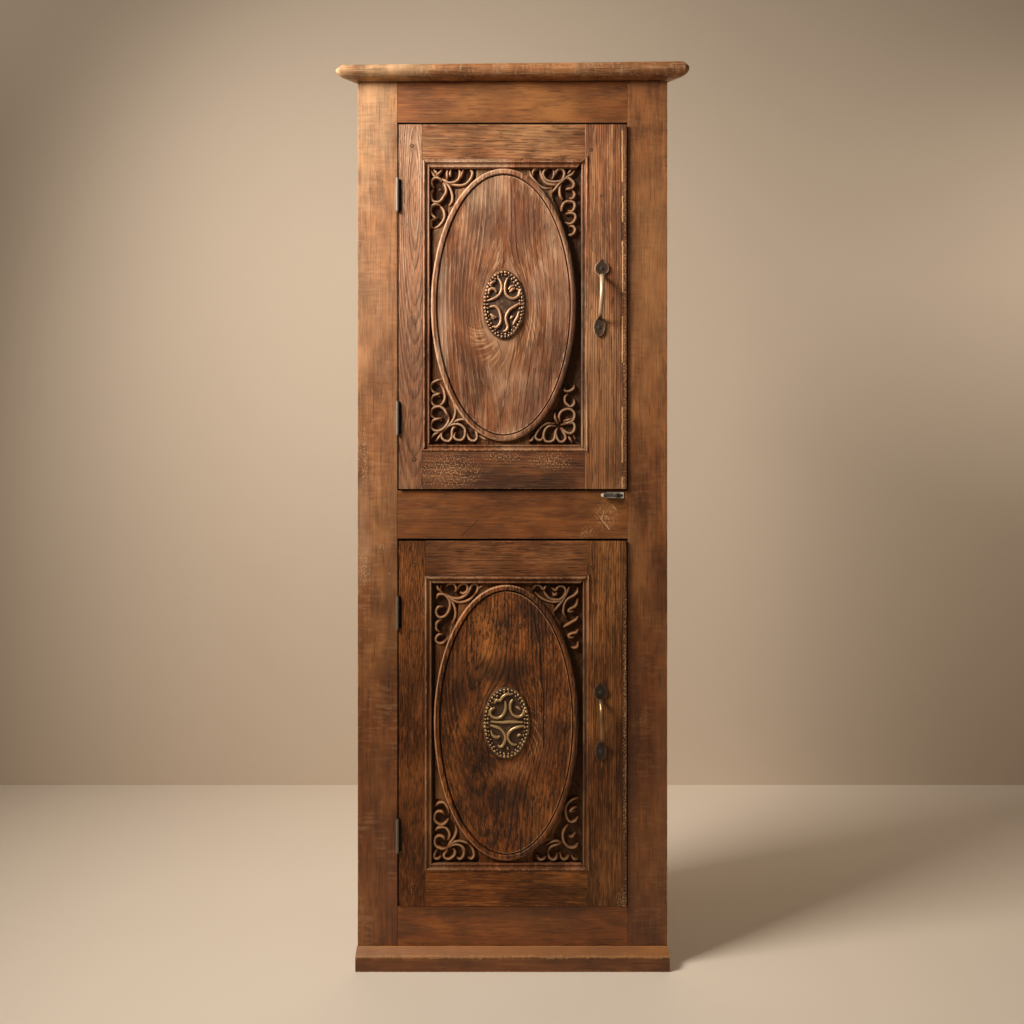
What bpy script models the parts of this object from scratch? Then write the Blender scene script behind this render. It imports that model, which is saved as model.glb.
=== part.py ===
"""A tall corner cabinet with two carved doors, one above the other.

The face frame stands across the corner of a room. Two side panels run back from it along the walls
at 45 degrees and meet a narrow back board. The doors hang on the left stile, on butt hinges.
Metres, +Z up, the front faces -Y, origin under the middle of the bounding box.
"""

import math

import bmesh
import bpy
from mathutils import Matrix, Vector

# Clearances
FIT = 0.0003
BARREL_STANDOFF = 0.0004
PIN_CLEARANCE = 0.0001
SWING_CLEARANCE = 0.001
RELIEF_CLEARANCE = 0.001
CATCH_CLEARANCE = 0.001
UNION_OVERLAP = 0.002

# Face frame
FACE_WIDTH = 0.622
FACE_THICKNESS = 0.025
FACE_STILE_WIDTH = 0.081
BOTTOM_RAIL_HEIGHT = 0.121
OPENING_HEIGHT = 0.735
MIDDLE_RAIL_HEIGHT = 0.097
TOP_RAIL_HEIGHT = 0.084
FACE_TENON_LENGTH = 0.035
FACE_TENON_THICKNESS = 0.009
TENON_SHOULDER = 0.014
ARRIS = 0.0015

# Carcass behind the face
SIDE_THICKNESS = 0.018
BACK_WIDTH = 0.080
BACK_THICKNESS = 0.020
FLOOR_THICKNESS = 0.018
SHELF_THICKNESS = 0.018
UPPER_SHELF_RISE = 0.380
LOWER_SHELF_RISE = 0.360
CLEAT_WIDTH = 0.018
CLEAT_HEIGHT = 0.022
CLEAT_END_GAP = 0.030

# Top board and plinth
TOP_THICKNESS = 0.028
TOP_OVERHANG = 0.026
TOP_END_OVERHANG = 0.012
TIP_EASE = 0.006
NOSE_DEPTH = 0.014
NOSE_STEPS = 6
PLINTH_HEIGHT = 0.0434
PLINTH_THICKNESS = 0.020
PLINTH_SLOPE = 0.0134
PLINTH_LEDGE = 0.002

# Doors
DOOR_THICKNESS = 0.031
DOOR_PROUD = 0.006
DOOR_TOP_GAP = 0.0055
DOOR_BOTTOM_GAP = 0.003
HINGE_GAP = 0.002
UPPER_HINGE_STILE = 0.048
UPPER_LOCK_STILE = 0.083
UPPER_TOP_RAIL = 0.0685
UPPER_BOTTOM_RAIL = 0.077
LOWER_HINGE_STILE = 0.054
LOWER_LOCK_STILE = 0.078
LOWER_TOP_RAIL = 0.0675
LOWER_BOTTOM_RAIL = 0.072
DOOR_TENON_LENGTH = 0.030

# Carved panel and its moulding, with heights measured from the sunk ground of the panel
PANEL_SETBACK = 0.013
PANEL_THICKNESS = 0.010
PANEL_TONGUE = 0.008
MOULDING_WIDTH = 0.016
MOULDING_HEIGHT = 0.0145
MOULDING_SHARES = (
    (0.0, 0.88), (0.12, 1.0), (0.32, 1.0), (0.45, 0.78), (0.58, 0.84), (0.80, 0.66), (1.0, 0.25)
)
RELIEF_HEIGHT = 0.008
OVAL_GAP = 0.002
OVAL_HEIGHT = 0.010
BEAD_WIDTH = 0.015
BEAD_HEIGHT = 0.0135
BEAD_SHARES = ((0.0, 0.45), (0.20, 0.85), (0.50, 1.0), (0.80, 0.85), (1.0, 0.62))
FIELD_EDGE_SHARE = 1.25
OVAL_SIDES = 40
UPPER_ROSETTE_WIDTH = 0.084
UPPER_ROSETTE_HEIGHT = 0.138
LOWER_ROSETTE_WIDTH = 0.094
LOWER_ROSETTE_HEIGHT = 0.143
ROSETTE_THICKNESS = 0.006
ROSETTE_RIM = 0.008
ROSETTE_SHARES = ((0.0, 0.0), (0.0, 0.4), (0.4, 0.9), (1.0, 0.45), (2.2, 1.0))
ROSETTE_SIDES = 28

# Scroll carving of one corner: the shares of the panel's half width and half height that it covers,
# then the middle and the half size of each eye, as shares of that covered width and height
RELIEF_SHARES = (0.60, 0.445)
RELIEF_ARC_STEPS = 8
EYE_SIDES = 10
SCROLL_EYE_SHARES = (
    ((0.150, 0.065), (0.050, 0.036)),
    ((0.350, 0.090), (0.067, 0.063)),
    ((0.550, 0.110), (0.092, 0.081)),
    ((0.817, 0.121), (0.092, 0.081)),
    ((0.148, 0.220), (0.097, 0.061)),
    ((0.187, 0.422), (0.130, 0.083)),
    ((0.425, 0.438), (0.060, 0.124)),
    ((0.148, 0.658), (0.097, 0.065)),
    ((0.153, 0.865), (0.100, 0.058)),
)

# Pull handles
HANDLE_INSET = 0.0525
UPPER_HANDLE_HEIGHT = 0.380
LOWER_HANDLE_HEIGHT = 0.3685
HANDLE_LENGTH = 0.153
HANDLE_BAR = 0.009
HANDLE_CLEARANCE = 0.026
HANDLE_LEAF_LENGTH = 0.034
HANDLE_LEAF_WIDTH = 0.028
HANDLE_LEAF_THICKNESS = 0.004
HANDLE_SIDES = 10
HANDLE_ARCH_STEPS = 6
LEAF_SHARES = ((0.0, 0.06), (0.14, 0.42), (0.36, 0.88), (0.58, 1.0), (0.80, 0.72))

# Butt hinges
HINGE_LENGTH = 0.064
HINGE_INSET = 0.141
HINGE_LEAF_WIDTH = 0.020
HINGE_LEAF_THICKNESS = 0.0018
HINGE_BARREL_RADIUS = 0.0032
HINGE_KNUCKLES = 5
PIN_RADIUS = 0.0015
PIN_TIP_RADIUS = 0.0026
PIN_TIP_HEIGHT = 0.0016
HINGE_SIDES = 16

# Turn catch on the middle rail
CATCH_INSET = 0.025
CATCH_DROP = 0.0095
CATCH_PLATE_WIDTH = 0.034
CATCH_PLATE_HEIGHT = 0.012
CATCH_PLATE_THICKNESS = 0.0015
CATCH_POST_RADIUS = 0.0045
CATCH_NECK_RADIUS = 0.0022
CATCH_HEAD_RADIUS = 0.004
CATCH_HEAD_TIP_RADIUS = 0.0028
CATCH_HEAD_HEIGHT = 0.0018
LEVER_REACH = 0.029
LEVER_THICKNESS = 0.0025
LEVER_EYE_RADIUS = 0.0055
LEVER_TIP_RADIUS = 0.0038
LEVER_TAB_LENGTH = 0.0025
LEVER_TAB_WIDTH = 0.006
LEVER_TAB_HEIGHT = 0.004
CATCH_SIDES = 20

# Finishes: colour, roughness, metallic
FACE_WOOD = ((0.30, 0.125, 0.048), 0.48, 0.0)
DOOR_WOOD = ((0.21, 0.095, 0.042), 0.60, 0.0)
CARVED_WOOD = ((0.13, 0.055, 0.025), 0.65, 0.0)
INNER_WOOD = ((0.30, 0.16, 0.075), 0.70, 0.0)
BRONZE = ((0.22, 0.14, 0.075), 0.45, 1.0)
IRON = ((0.06, 0.052, 0.045), 0.55, 1.0)
STEEL = ((0.45, 0.42, 0.38), 0.38, 1.0)

# Places worked out from the sizes above
SQRT2 = math.sqrt(2.0)
CARCASS_HEIGHT = BOTTOM_RAIL_HEIGHT + 2 * OPENING_HEIGHT + MIDDLE_RAIL_HEIGHT + TOP_RAIL_HEIGHT
OPENING_WIDTH = FACE_WIDTH - 2 * FACE_STILE_WIDTH
BODY_DEPTH = (FACE_WIDTH - BACK_WIDTH) / 2
HANDLE_REACH = DOOR_PROUD + HANDLE_CLEARANCE + HANDLE_BAR
FACE_Y = (max(TOP_OVERHANG, HANDLE_REACH) - BODY_DEPTH) / 2
FACE_BACK_Y = FACE_Y + FACE_THICKNESS
REAR_Y = FACE_Y + BODY_DEPTH
BACK_FRONT_Y = REAR_Y - BACK_THICKNESS
DOOR_FRONT_Y = FACE_Y - DOOR_PROUD
DOOR_BACK_Y = DOOR_FRONT_Y + DOOR_THICKNESS
STOP_Y = max(FACE_BACK_Y, DOOR_BACK_Y) + FIT
GROUND_Y = DOOR_FRONT_Y + PANEL_SETBACK
MIDDLE_RAIL_Z = BOTTOM_RAIL_HEIGHT + OPENING_HEIGHT
UPPER_OPENING_Z = MIDDLE_RAIL_Z + MIDDLE_RAIL_HEIGHT
TOP_RAIL_Z = UPPER_OPENING_Z + OPENING_HEIGHT
HINGE_X = (HINGE_GAP - OPENING_WIDTH) / 2
HINGE_Y = DOOR_FRONT_Y - HINGE_BARREL_RADIUS - BARREL_STANDOFF
DOOR_LEFT = -OPENING_WIDTH / 2 + HINGE_GAP
SWING_WIDTH = OPENING_WIDTH - HINGE_GAP
SWING_BULGE = math.hypot(SWING_WIDTH, DOOR_BACK_Y - HINGE_Y) - SWING_WIDTH
DOOR_RIGHT = OPENING_WIDTH / 2 - SWING_BULGE - SWING_CLEARANCE


def wall_x(y, inset=0.0):
    """Half width of the plan at y, on a line that lies inset metres inside the wall."""
    return FACE_WIDTH / 2 - (y - FACE_Y) - SQRT2 * inset


def clear_scene():
    for old in list(bpy.data.objects):
        bpy.data.objects.remove(old, do_unlink=True)


def make_material(name, finish):
    colour, roughness, metallic = finish
    material = bpy.data.materials.new(name)
    material.use_nodes = True
    shader = material.node_tree.nodes["Principled BSDF"]
    shader.inputs["Base Color"].default_value = (*colour, 1.0)
    shader.inputs["Roughness"].default_value = roughness
    shader.inputs["Metallic"].default_value = metallic
    return material


def add_object(name, bm, pivot=None):
    """Turn a mesh in world coordinates into an object, with its origin on the pivot if it has one."""
    bmesh.ops.recalc_face_normals(bm, faces=bm.faces)
    if pivot:
        bmesh.ops.translate(bm, verts=bm.verts, vec=-pivot.location)
    mesh = bpy.data.meshes.new(name)
    bm.to_mesh(mesh)
    bm.free()
    obj = bpy.data.objects.new(name, mesh)
    obj.parent = pivot
    bpy.context.collection.objects.link(obj)
    return obj


def add_piece(name, bm, finish, pivot=None, smooth=False):
    piece = add_object(name, bm, pivot)
    piece.data.materials.append(make_material(name + "_finish", finish))
    if smooth:
        piece.data.shade_smooth()
    return piece


def add_pivot(name, place):
    pivot = bpy.data.objects.new(name, None)
    pivot.location = place
    bpy.context.collection.objects.link(pivot)
    bpy.context.view_layer.update()
    return pivot


def ease_edges(piece, width=ARRIS):
    bevel = piece.modifiers.new("eased_edges", "BEVEL")
    bevel.width = width
    bevel.segments = 1
    bevel.limit_method = "ANGLE"


def combine(piece, operation, bm):
    """Cut a shape out of a piece, or add it to the piece. The shape stays as a hidden guide."""
    guide = add_object(f"{piece.name}_guide_{len(piece.modifiers)}", bm)
    guide.hide_render = True
    guide.display_type = "WIRE"
    boolean = piece.modifiers.new(operation.lower(), "BOOLEAN")
    boolean.operation = operation
    boolean.solver = "EXACT"
    boolean.object = guide


def box(low, high):
    low, high = Vector(low), Vector(high)
    size = high - low
    bm = bmesh.new()
    place = Matrix.Translation((low + high) / 2) @ Matrix.Diagonal((*size, 1.0))
    bmesh.ops.create_cube(bm, size=1.0, matrix=place)
    return bm


def loft(loops):
    """A closed skin through loops that have the same number of points."""
    bm = bmesh.new()
    rings = [[bm.verts.new(point) for point in loop] for loop in loops]
    for near, far in zip(rings, rings[1:]):
        for i in range(len(near)):
            j = (i + 1) % len(near)
            bm.faces.new((near[i], near[j], far[j], far[i]))
    bm.faces.new(rings[0])
    bm.faces.new(rings[-1])
    return bm


def plan_prism(outline, bottom, top):
    return loft([[(x, y, z) for x, y in outline] for z in (bottom, top)])


def turned(centre, profile, sides, axis="Z"):
    """A round solid on an axis through centre, from (position on the axis, radius) steps."""
    loops = []
    for along, radius in profile:
        loop = []
        for k in range(sides):
            angle = 2 * math.pi * k / sides
            across = Vector((radius * math.cos(angle), radius * math.sin(angle), along))
            if axis == "Y":
                across = Vector((across.x, along, radius * math.sin(angle)))
            loop.append(Vector(centre) + across)
        loops.append(loop)
    return loft(loops)


def oval_loop(centre, half_width, half_height, y, sides):
    loop = []
    for k in range(sides):
        angle = 2 * math.pi * k / sides
        loop.append((centre[0] + half_width * math.cos(angle), y, centre[1] + half_height * math.sin(angle)))
    return loop


# Face frame: the stiles run the full height and the rails are tenoned between them

def face_rails():
    return (
        ("face_rail_bottom", 0.0, BOTTOM_RAIL_HEIGHT),
        ("face_rail_middle", MIDDLE_RAIL_Z, UPPER_OPENING_Z),
        ("face_rail_top", TOP_RAIL_Z, CARCASS_HEIGHT),
    )


def add_face_rail(name, bottom, top):
    inner = OPENING_WIDTH / 2
    rail = add_piece(name, box((-inner + FIT, FACE_Y, bottom), (inner - FIT, FACE_BACK_Y, top)), FACE_WOOD)
    ease_edges(rail)
    reach = inner + FACE_TENON_LENGTH
    middle = (FACE_Y + FACE_BACK_Y) / 2
    low = (-reach, middle - FACE_TENON_THICKNESS / 2, bottom + TENON_SHOULDER)
    high = (reach, middle + FACE_TENON_THICKNESS / 2, top - TENON_SHOULDER)
    combine(rail, "UNION", box(low, high))


def add_face_stile(name, side):
    inner = OPENING_WIDTH / 2
    plan = [(inner, FACE_Y), (wall_x(FACE_Y), FACE_Y)]
    plan += [(wall_x(FACE_BACK_Y), FACE_BACK_Y), (inner, FACE_BACK_Y)]
    stile = add_piece(name, plan_prism([(side * x, y) for x, y in plan], 0.0, CARCASS_HEIGHT), FACE_WOOD)
    ease_edges(stile)
    middle = (FACE_Y + FACE_BACK_Y) / 2
    half = FACE_TENON_THICKNESS / 2 + FIT
    ends = sorted((side * (inner - ARRIS), side * (inner + FACE_TENON_LENGTH + FIT)))
    for _, bottom, top in face_rails():
        low = (ends[0], middle - half, bottom + TENON_SHOULDER - FIT)
        high = (ends[1], middle + half, top - TENON_SHOULDER + FIT)
        combine(stile, "DIFFERENCE", box(low, high))
    return stile


def let_in_frame_leaf(stile, centre_z):
    edge = -OPENING_WIDTH / 2
    half = HINGE_LENGTH / 2 + FIT
    low = (edge - HINGE_LEAF_THICKNESS - FIT, FACE_Y - ARRIS, centre_z - half)
    high = (edge + ARRIS, DOOR_FRONT_Y + HINGE_LEAF_WIDTH + FIT, centre_z + half)
    combine(stile, "DIFFERENCE", box(low, high))


# Carcass behind the face: side panels, back board, floors, shelves on cleats, top board, plinth

def add_side_panel(name, side):
    front = FACE_BACK_Y + FIT
    rear = BACK_FRONT_Y - FIT
    plan = [
        (wall_x(front), front),
        (wall_x(rear), rear),
        (wall_x(rear, SIDE_THICKNESS), rear),
        (wall_x(front, SIDE_THICKNESS), front),
    ]
    add_piece(name, plan_prism([(side * x, y) for x, y in plan], 0.0, CARCASS_HEIGHT), FACE_WOOD)


def add_back_board():
    plan = [
        (-wall_x(BACK_FRONT_Y), BACK_FRONT_Y),
        (wall_x(BACK_FRONT_Y), BACK_FRONT_Y),
        (wall_x(REAR_Y), REAR_Y),
        (-wall_x(REAR_Y), REAR_Y),
    ]
    add_piece("back_board", plan_prism(plan, 0.0, CARCASS_HEIGHT), FACE_WOOD)


def add_level(name, top, thickness):
    """A floor or shelf that fills the plan between the face, the side panels and the back board."""
    rear = BACK_FRONT_Y - FIT
    inset = SIDE_THICKNESS + FIT
    plan = [
        (-wall_x(STOP_Y, inset), STOP_Y),
        (wall_x(STOP_Y, inset), STOP_Y),
        (wall_x(rear, inset), rear),
        (-wall_x(rear, inset), rear),
    ]
    add_piece(name, plan_prism(plan, top - thickness, top), INNER_WOOD)


def add_cleat(name, side, shelf_top):
    """A batten on the inner face of a side panel, under the edge of a shelf."""
    front = STOP_Y + CLEAT_END_GAP
    rear = BACK_FRONT_Y - CLEAT_END_GAP
    outer = SIDE_THICKNESS + FIT
    inner = outer + CLEAT_WIDTH
    plan = [(wall_x(front, outer), front), (wall_x(rear, outer), rear)]
    plan += [(wall_x(rear, inner), rear), (wall_x(front, inner), front)]
    top = shelf_top - SHELF_THICKNESS - FIT
    add_piece(name, plan_prism([(side * x, y) for x, y in plan], top - CLEAT_HEIGHT, top), INNER_WOOD)


def add_top_board():
    """The ends run along the walls and overhang them. Only the front edge is rounded, as a half oval nose."""
    middle = CARCASS_HEIGHT + FIT + TOP_THICKNESS / 2
    loops = []
    for step in range(NOSE_STEPS + 1):
        angle = math.pi * (step / NOSE_STEPS - 0.5)
        front = FACE_Y - TOP_OVERHANG + NOSE_DEPTH * (1 - math.cos(angle))
        blunt = front + TIP_EASE / 2
        right = [
            (wall_x(front, -TOP_END_OVERHANG) - TIP_EASE, front),
            (wall_x(blunt, -TOP_END_OVERHANG), blunt),
            (wall_x(REAR_Y, -TOP_END_OVERHANG), REAR_Y),
        ]
        left = [(-x, y) for x, y in reversed(right)]
        z = middle + TOP_THICKNESS / 2 * math.sin(angle)
        loops.append([(x, y, z) for x, y in right + left])
    add_piece("top_board", loft(loops), FACE_WOOD)


def add_plinth():
    back = FACE_Y - FIT
    front = back - PLINTH_THICKNESS
    profile = [
        (back, 0.0),
        (front, 0.0),
        (front, PLINTH_HEIGHT - PLINTH_SLOPE),
        (back - PLINTH_LEDGE, PLINTH_HEIGHT),
        (back, PLINTH_HEIGHT),
    ]
    half = FACE_WIDTH / 2
    ends = [[(x, y, z) for y, z in profile] for x in (-half, half)]
    plinth = add_piece("plinth_board", loft(ends), FACE_WOOD)
    ease_edges(plinth)


# Butt hinges: two leaves with alternating knuckles on one pin

def knuckle_span(index, centre_z):
    pitch = HINGE_LENGTH / HINGE_KNUCKLES
    bottom = centre_z - HINGE_LENGTH / 2 + index * pitch
    return bottom + FIT / 2, bottom + pitch - FIT / 2


def add_hinge_leaf(name, centre_z, plate_x, knuckles, pivot=None):
    """A plate with fingers that run out to its own knuckles, bored for the pin."""
    near = DOOR_FRONT_Y
    far = DOOR_FRONT_Y + HINGE_LEAF_WIDTH
    half = HINGE_LENGTH / 2
    outline = [(far, centre_z + half), (far, centre_z - half), (near, centre_z - half)]
    for index in knuckles:
        bottom, top = knuckle_span(index, centre_z)
        bottom += FIT
        top -= FIT
        outline += [(near, bottom), (HINGE_Y, bottom), (HINGE_Y, top), (near, top)]
    outline.append((near, centre_z + half))
    leaf = add_piece(name, loft([[(x, y, z) for y, z in outline] for x in plate_x]), STEEL, pivot)
    for index in knuckles:
        span = [(end, HINGE_BARREL_RADIUS) for end in knuckle_span(index, 0.0)]
        combine(leaf, "UNION", turned((HINGE_X, HINGE_Y, centre_z), span, HINGE_SIDES))
    bore = [(end, PIN_RADIUS + PIN_CLEARANCE) for end in (-HINGE_LENGTH, HINGE_LENGTH)]
    combine(leaf, "DIFFERENCE", turned((HINGE_X, HINGE_Y, centre_z), bore, HINGE_SIDES))


def add_hinge(name, centre_z, door_pivot):
    frame_edge = -OPENING_WIDTH / 2
    add_hinge_leaf(
        name + "_frame_leaf",
        centre_z,
        (frame_edge - HINGE_LEAF_THICKNESS, frame_edge),
        range(0, HINGE_KNUCKLES, 2),
    )
    add_hinge_leaf(
        name + "_door_leaf",
        centre_z,
        (DOOR_LEFT, DOOR_LEFT + HINGE_LEAF_THICKNESS),
        range(1, HINGE_KNUCKLES, 2),
        door_pivot,
    )
    end = HINGE_LENGTH / 2 + FIT
    tip = end + PIN_TIP_HEIGHT
    rod = [(-tip, PIN_TIP_RADIUS), (-end, PIN_TIP_RADIUS), (-end, PIN_RADIUS)]
    rod += [(-along, radius) for along, radius in reversed(rod)]
    add_piece(name + "_pin", turned((HINGE_X, HINGE_Y, centre_z), rod, HINGE_SIDES), STEEL, smooth=True)


# Doors: mortised frame, carved panel in a groove, moulding, oval, rosette and handle

class Door:
    """The places of one door, worked out from its opening and the widths of its frame."""

    def __init__(self, name, opening_z, hinge_stile, lock_stile, top_rail, bottom_rail):
        self.name = name
        self.bottom = opening_z + DOOR_BOTTOM_GAP
        self.top = opening_z + OPENING_HEIGHT - DOOR_TOP_GAP
        self.day_left = DOOR_LEFT + hinge_stile
        self.day_right = DOOR_RIGHT - lock_stile
        self.day_bottom = self.bottom + bottom_rail
        self.day_top = self.top - top_rail
        self.centre = ((self.day_left + self.day_right) / 2, (self.day_bottom + self.day_top) / 2)
        self.half_width = (self.day_right - self.day_left) / 2 - MOULDING_WIDTH
        self.half_height = (self.day_top - self.day_bottom) / 2 - MOULDING_WIDTH
        self.hinges = {"lower": self.bottom + HINGE_INSET, "upper": self.top - HINGE_INSET}
        self.pivot = add_pivot(name + "_hinge_axis", (HINGE_X, HINGE_Y, self.bottom))


def add_door_rail(door, name, bottom, top, groove):
    low = (door.day_left + FIT, DOOR_FRONT_Y, bottom)
    high = (door.day_right - FIT, DOOR_BACK_Y, top)
    rail = add_piece(f"{door.name}_{name}", box(low, high), DOOR_WOOD, door.pivot)
    ease_edges(rail)
    low = (door.day_left - DOOR_TENON_LENGTH, GROUND_Y, bottom + TENON_SHOULDER)
    high = (door.day_right + DOOR_TENON_LENGTH, GROUND_Y + PANEL_THICKNESS, top - TENON_SHOULDER)
    combine(rail, "UNION", box(low, high))
    low = (door.day_left - FIT, GROUND_Y - FIT, groove - PANEL_TONGUE)
    high = (door.day_right + FIT, GROUND_Y + PANEL_THICKNESS + FIT, groove + PANEL_TONGUE)
    combine(rail, "DIFFERENCE", box(low, high))


def add_door_stile(door, name, left, right, inner, side):
    low = (left, DOOR_FRONT_Y, door.bottom)
    high = (right, DOOR_BACK_Y, door.top)
    stile = add_piece(f"{door.name}_{name}", box(low, high), DOOR_WOOD, door.pivot)
    ease_edges(stile)
    front = GROUND_Y - FIT
    back = GROUND_Y + PANEL_THICKNESS + FIT
    ends = sorted((inner - side * ARRIS, inner + side * (DOOR_TENON_LENGTH + FIT)))
    for bottom, top in ((door.bottom, door.day_bottom), (door.day_top, door.top)):
        low = (ends[0], front, bottom + TENON_SHOULDER - FIT)
        high = (ends[1], back, top - TENON_SHOULDER + FIT)
        combine(stile, "DIFFERENCE", box(low, high))
    low = (inner - PANEL_TONGUE, front, door.day_bottom - PANEL_TONGUE)
    high = (inner + PANEL_TONGUE, back, door.day_top + PANEL_TONGUE)
    combine(stile, "DIFFERENCE", box(low, high))
    return stile


def let_in_door_leaf(stile, centre_z):
    half = HINGE_LENGTH / 2 + FIT
    low = (DOOR_LEFT - ARRIS, DOOR_FRONT_Y - ARRIS, centre_z - half)
    high = (DOOR_LEFT + HINGE_LEAF_THICKNESS + FIT, DOOR_FRONT_Y + HINGE_LEAF_WIDTH + FIT, centre_z + half)
    combine(stile, "DIFFERENCE", box(low, high))


def scroll_corner(bm, door, side_x, side_z):
    """One carved corner: a plate along the panel's edges and the oval, pierced by the scroll eyes."""
    wide = door.half_width - FIT
    tall = door.half_height - FIT
    oval_wide = door.half_width - OVAL_GAP + RELIEF_CLEARANCE
    oval_tall = door.half_height - OVAL_GAP + RELIEF_CLEARANCE
    reach_x, reach_z = RELIEF_SHARES
    first = math.acos(wide * (1 - reach_x) / oval_wide)
    last = math.asin(tall * (1 - reach_z) / oval_tall)
    outline = [(wide, oval_tall * math.sin(last)), (wide, tall), (oval_wide * math.cos(first), tall)]
    for step in range(RELIEF_ARC_STEPS + 1):
        angle = first + (last - first) * step / RELIEF_ARC_STEPS
        outline.append((oval_wide * math.cos(angle), oval_tall * math.sin(angle)))
    loops = [outline]
    for (across, down), (eye_wide, eye_tall) in SCROLL_EYE_SHARES:
        eye = []
        for k in range(EYE_SIDES):
            angle = 2 * math.pi * k / EYE_SIDES
            x = door.half_width * (1 - reach_x * (across - eye_wide * math.cos(angle)))
            z = door.half_height * (1 - reach_z * (down - eye_tall * math.sin(angle)))
            eye.append((x, z))
        loops.append(eye)
    edges = []
    back_y = GROUND_Y + UNION_OVERLAP
    for loop in loops:
        points = [(door.centre[0] + side_x * x, back_y, door.centre[1] + side_z * z) for x, z in loop]
        verts = [bm.verts.new(point) for point in points]
        edges += [bm.edges.new((verts[i - 1], verts[i])) for i in range(len(verts))]
    filled = bmesh.ops.triangle_fill(bm, edges=edges, use_beauty=True)
    faces = [item for item in filled["geom"] if isinstance(item, bmesh.types.BMFace)]
    grown = bmesh.ops.extrude_face_region(bm, geom=faces)
    front = [item for item in grown["geom"] if isinstance(item, bmesh.types.BMVert)]
    bmesh.ops.translate(bm, verts=front, vec=(0.0, -RELIEF_HEIGHT - UNION_OVERLAP, 0.0))


def add_carved_panel(door):
    tongue = PANEL_TONGUE - FIT
    low = (door.day_left - tongue, GROUND_Y, door.day_bottom - tongue)
    high = (door.day_right + tongue, GROUND_Y + PANEL_THICKNESS, door.day_top + tongue)
    panel = add_piece(door.name + "_carved_panel", box(low, high), CARVED_WOOD, door.pivot)
    relief = bmesh.new()
    for side_x in (-1, 1):
        for side_z in (-1, 1):
            scroll_corner(relief, door, side_x, side_z)
    combine(panel, "UNION", relief)


def moulding_profile():
    """Steps in from the frame and heights above the ground: a bead, a quirk and a falling ovolo."""
    steps = [(FIT, FIT)]
    for across, up in MOULDING_SHARES:
        steps.append((max(across * MOULDING_WIDTH, FIT), up * MOULDING_HEIGHT))
    steps.append((MOULDING_WIDTH, FIT))
    return steps


def add_moulding(door):
    """Four sticks, mitred at the corners, that stand on the panel inside the frame."""
    left, right, bottom, top = door.day_left, door.day_right, door.day_bottom, door.day_top
    sticks = {"left": [], "right": [], "bottom": [], "top": []}
    for inward, height in moulding_profile():
        y = GROUND_Y - height
        mitre = inward + FIT
        sticks["left"].append([(left + inward, y, bottom + mitre), (left + inward, y, top - mitre)])
        sticks["right"].append([(right - inward, y, bottom + mitre), (right - inward, y, top - mitre)])
        sticks["bottom"].append([(left + mitre, y, bottom + inward), (right - mitre, y, bottom + inward)])
        sticks["top"].append([(left + mitre, y, top - inward), (right - mitre, y, top - inward)])
    for place, lines in sticks.items():
        ends = [[line[end] for line in lines] for end in (0, 1)]
        add_piece(f"{door.name}_moulding_{place}", loft(ends), DOOR_WOOD, door.pivot)


def add_oval_field(door):
    """An oval board planted on the panel, with a round bead and a groove worked on its rim."""
    wide = door.half_width - OVAL_GAP
    tall = door.half_height - OVAL_GAP
    steps = [(0.0, FIT)]
    for across, up in BEAD_SHARES:
        steps.append((across * BEAD_WIDTH, up * BEAD_HEIGHT))
    steps.append((FIELD_EDGE_SHARE * BEAD_WIDTH, OVAL_HEIGHT))
    loops = []
    for inward, height in steps:
        loops.append(oval_loop(door.centre, wide - inward, tall - inward, GROUND_Y - height, OVAL_SIDES))
    add_piece(door.name + "_oval_field", loft(loops), CARVED_WOOD, door.pivot)


def add_rosette(door, width, height):
    """A cast oval boss with a raised rim, planted on the middle of the oval field."""
    seat = GROUND_Y - OVAL_HEIGHT - FIT
    loops = []
    for across, up in ROSETTE_SHARES:
        inward = across * ROSETTE_RIM
        y = seat - up * ROSETTE_THICKNESS
        loops.append(oval_loop(door.centre, width / 2 - inward, height / 2 - inward, y, ROSETTE_SIDES))
    add_piece(door.name + "_rosette", loft(loops), BRONZE, door.pivot)


def handle_stations():
    """Half of the handle from its tip: distance from the middle, rise, half width, half thickness."""
    leaf_half = HANDLE_LEAF_THICKNESS / 2
    bar = HANDLE_BAR / 2
    stations = []
    for along, share in LEAF_SHARES:
        place = HANDLE_LENGTH / 2 - along * HANDLE_LEAF_LENGTH
        stations.append((place, leaf_half, share * HANDLE_LEAF_WIDTH / 2, leaf_half))
    span = HANDLE_LENGTH / 2 - HANDLE_LEAF_LENGTH
    lift = HANDLE_CLEARANCE + bar - leaf_half
    for step in range(HANDLE_ARCH_STEPS + 1):
        angle = math.pi / 2 * step / HANDLE_ARCH_STEPS
        growth = min(1.0, 2.0 * step / HANDLE_ARCH_STEPS)
        thick = leaf_half + (bar - leaf_half) * growth
        rise = leaf_half + lift * math.sin(angle) + (thick - leaf_half) * (1 - math.sin(angle))
        stations.append((span * math.cos(angle), rise, bar, thick))
    return stations


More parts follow.
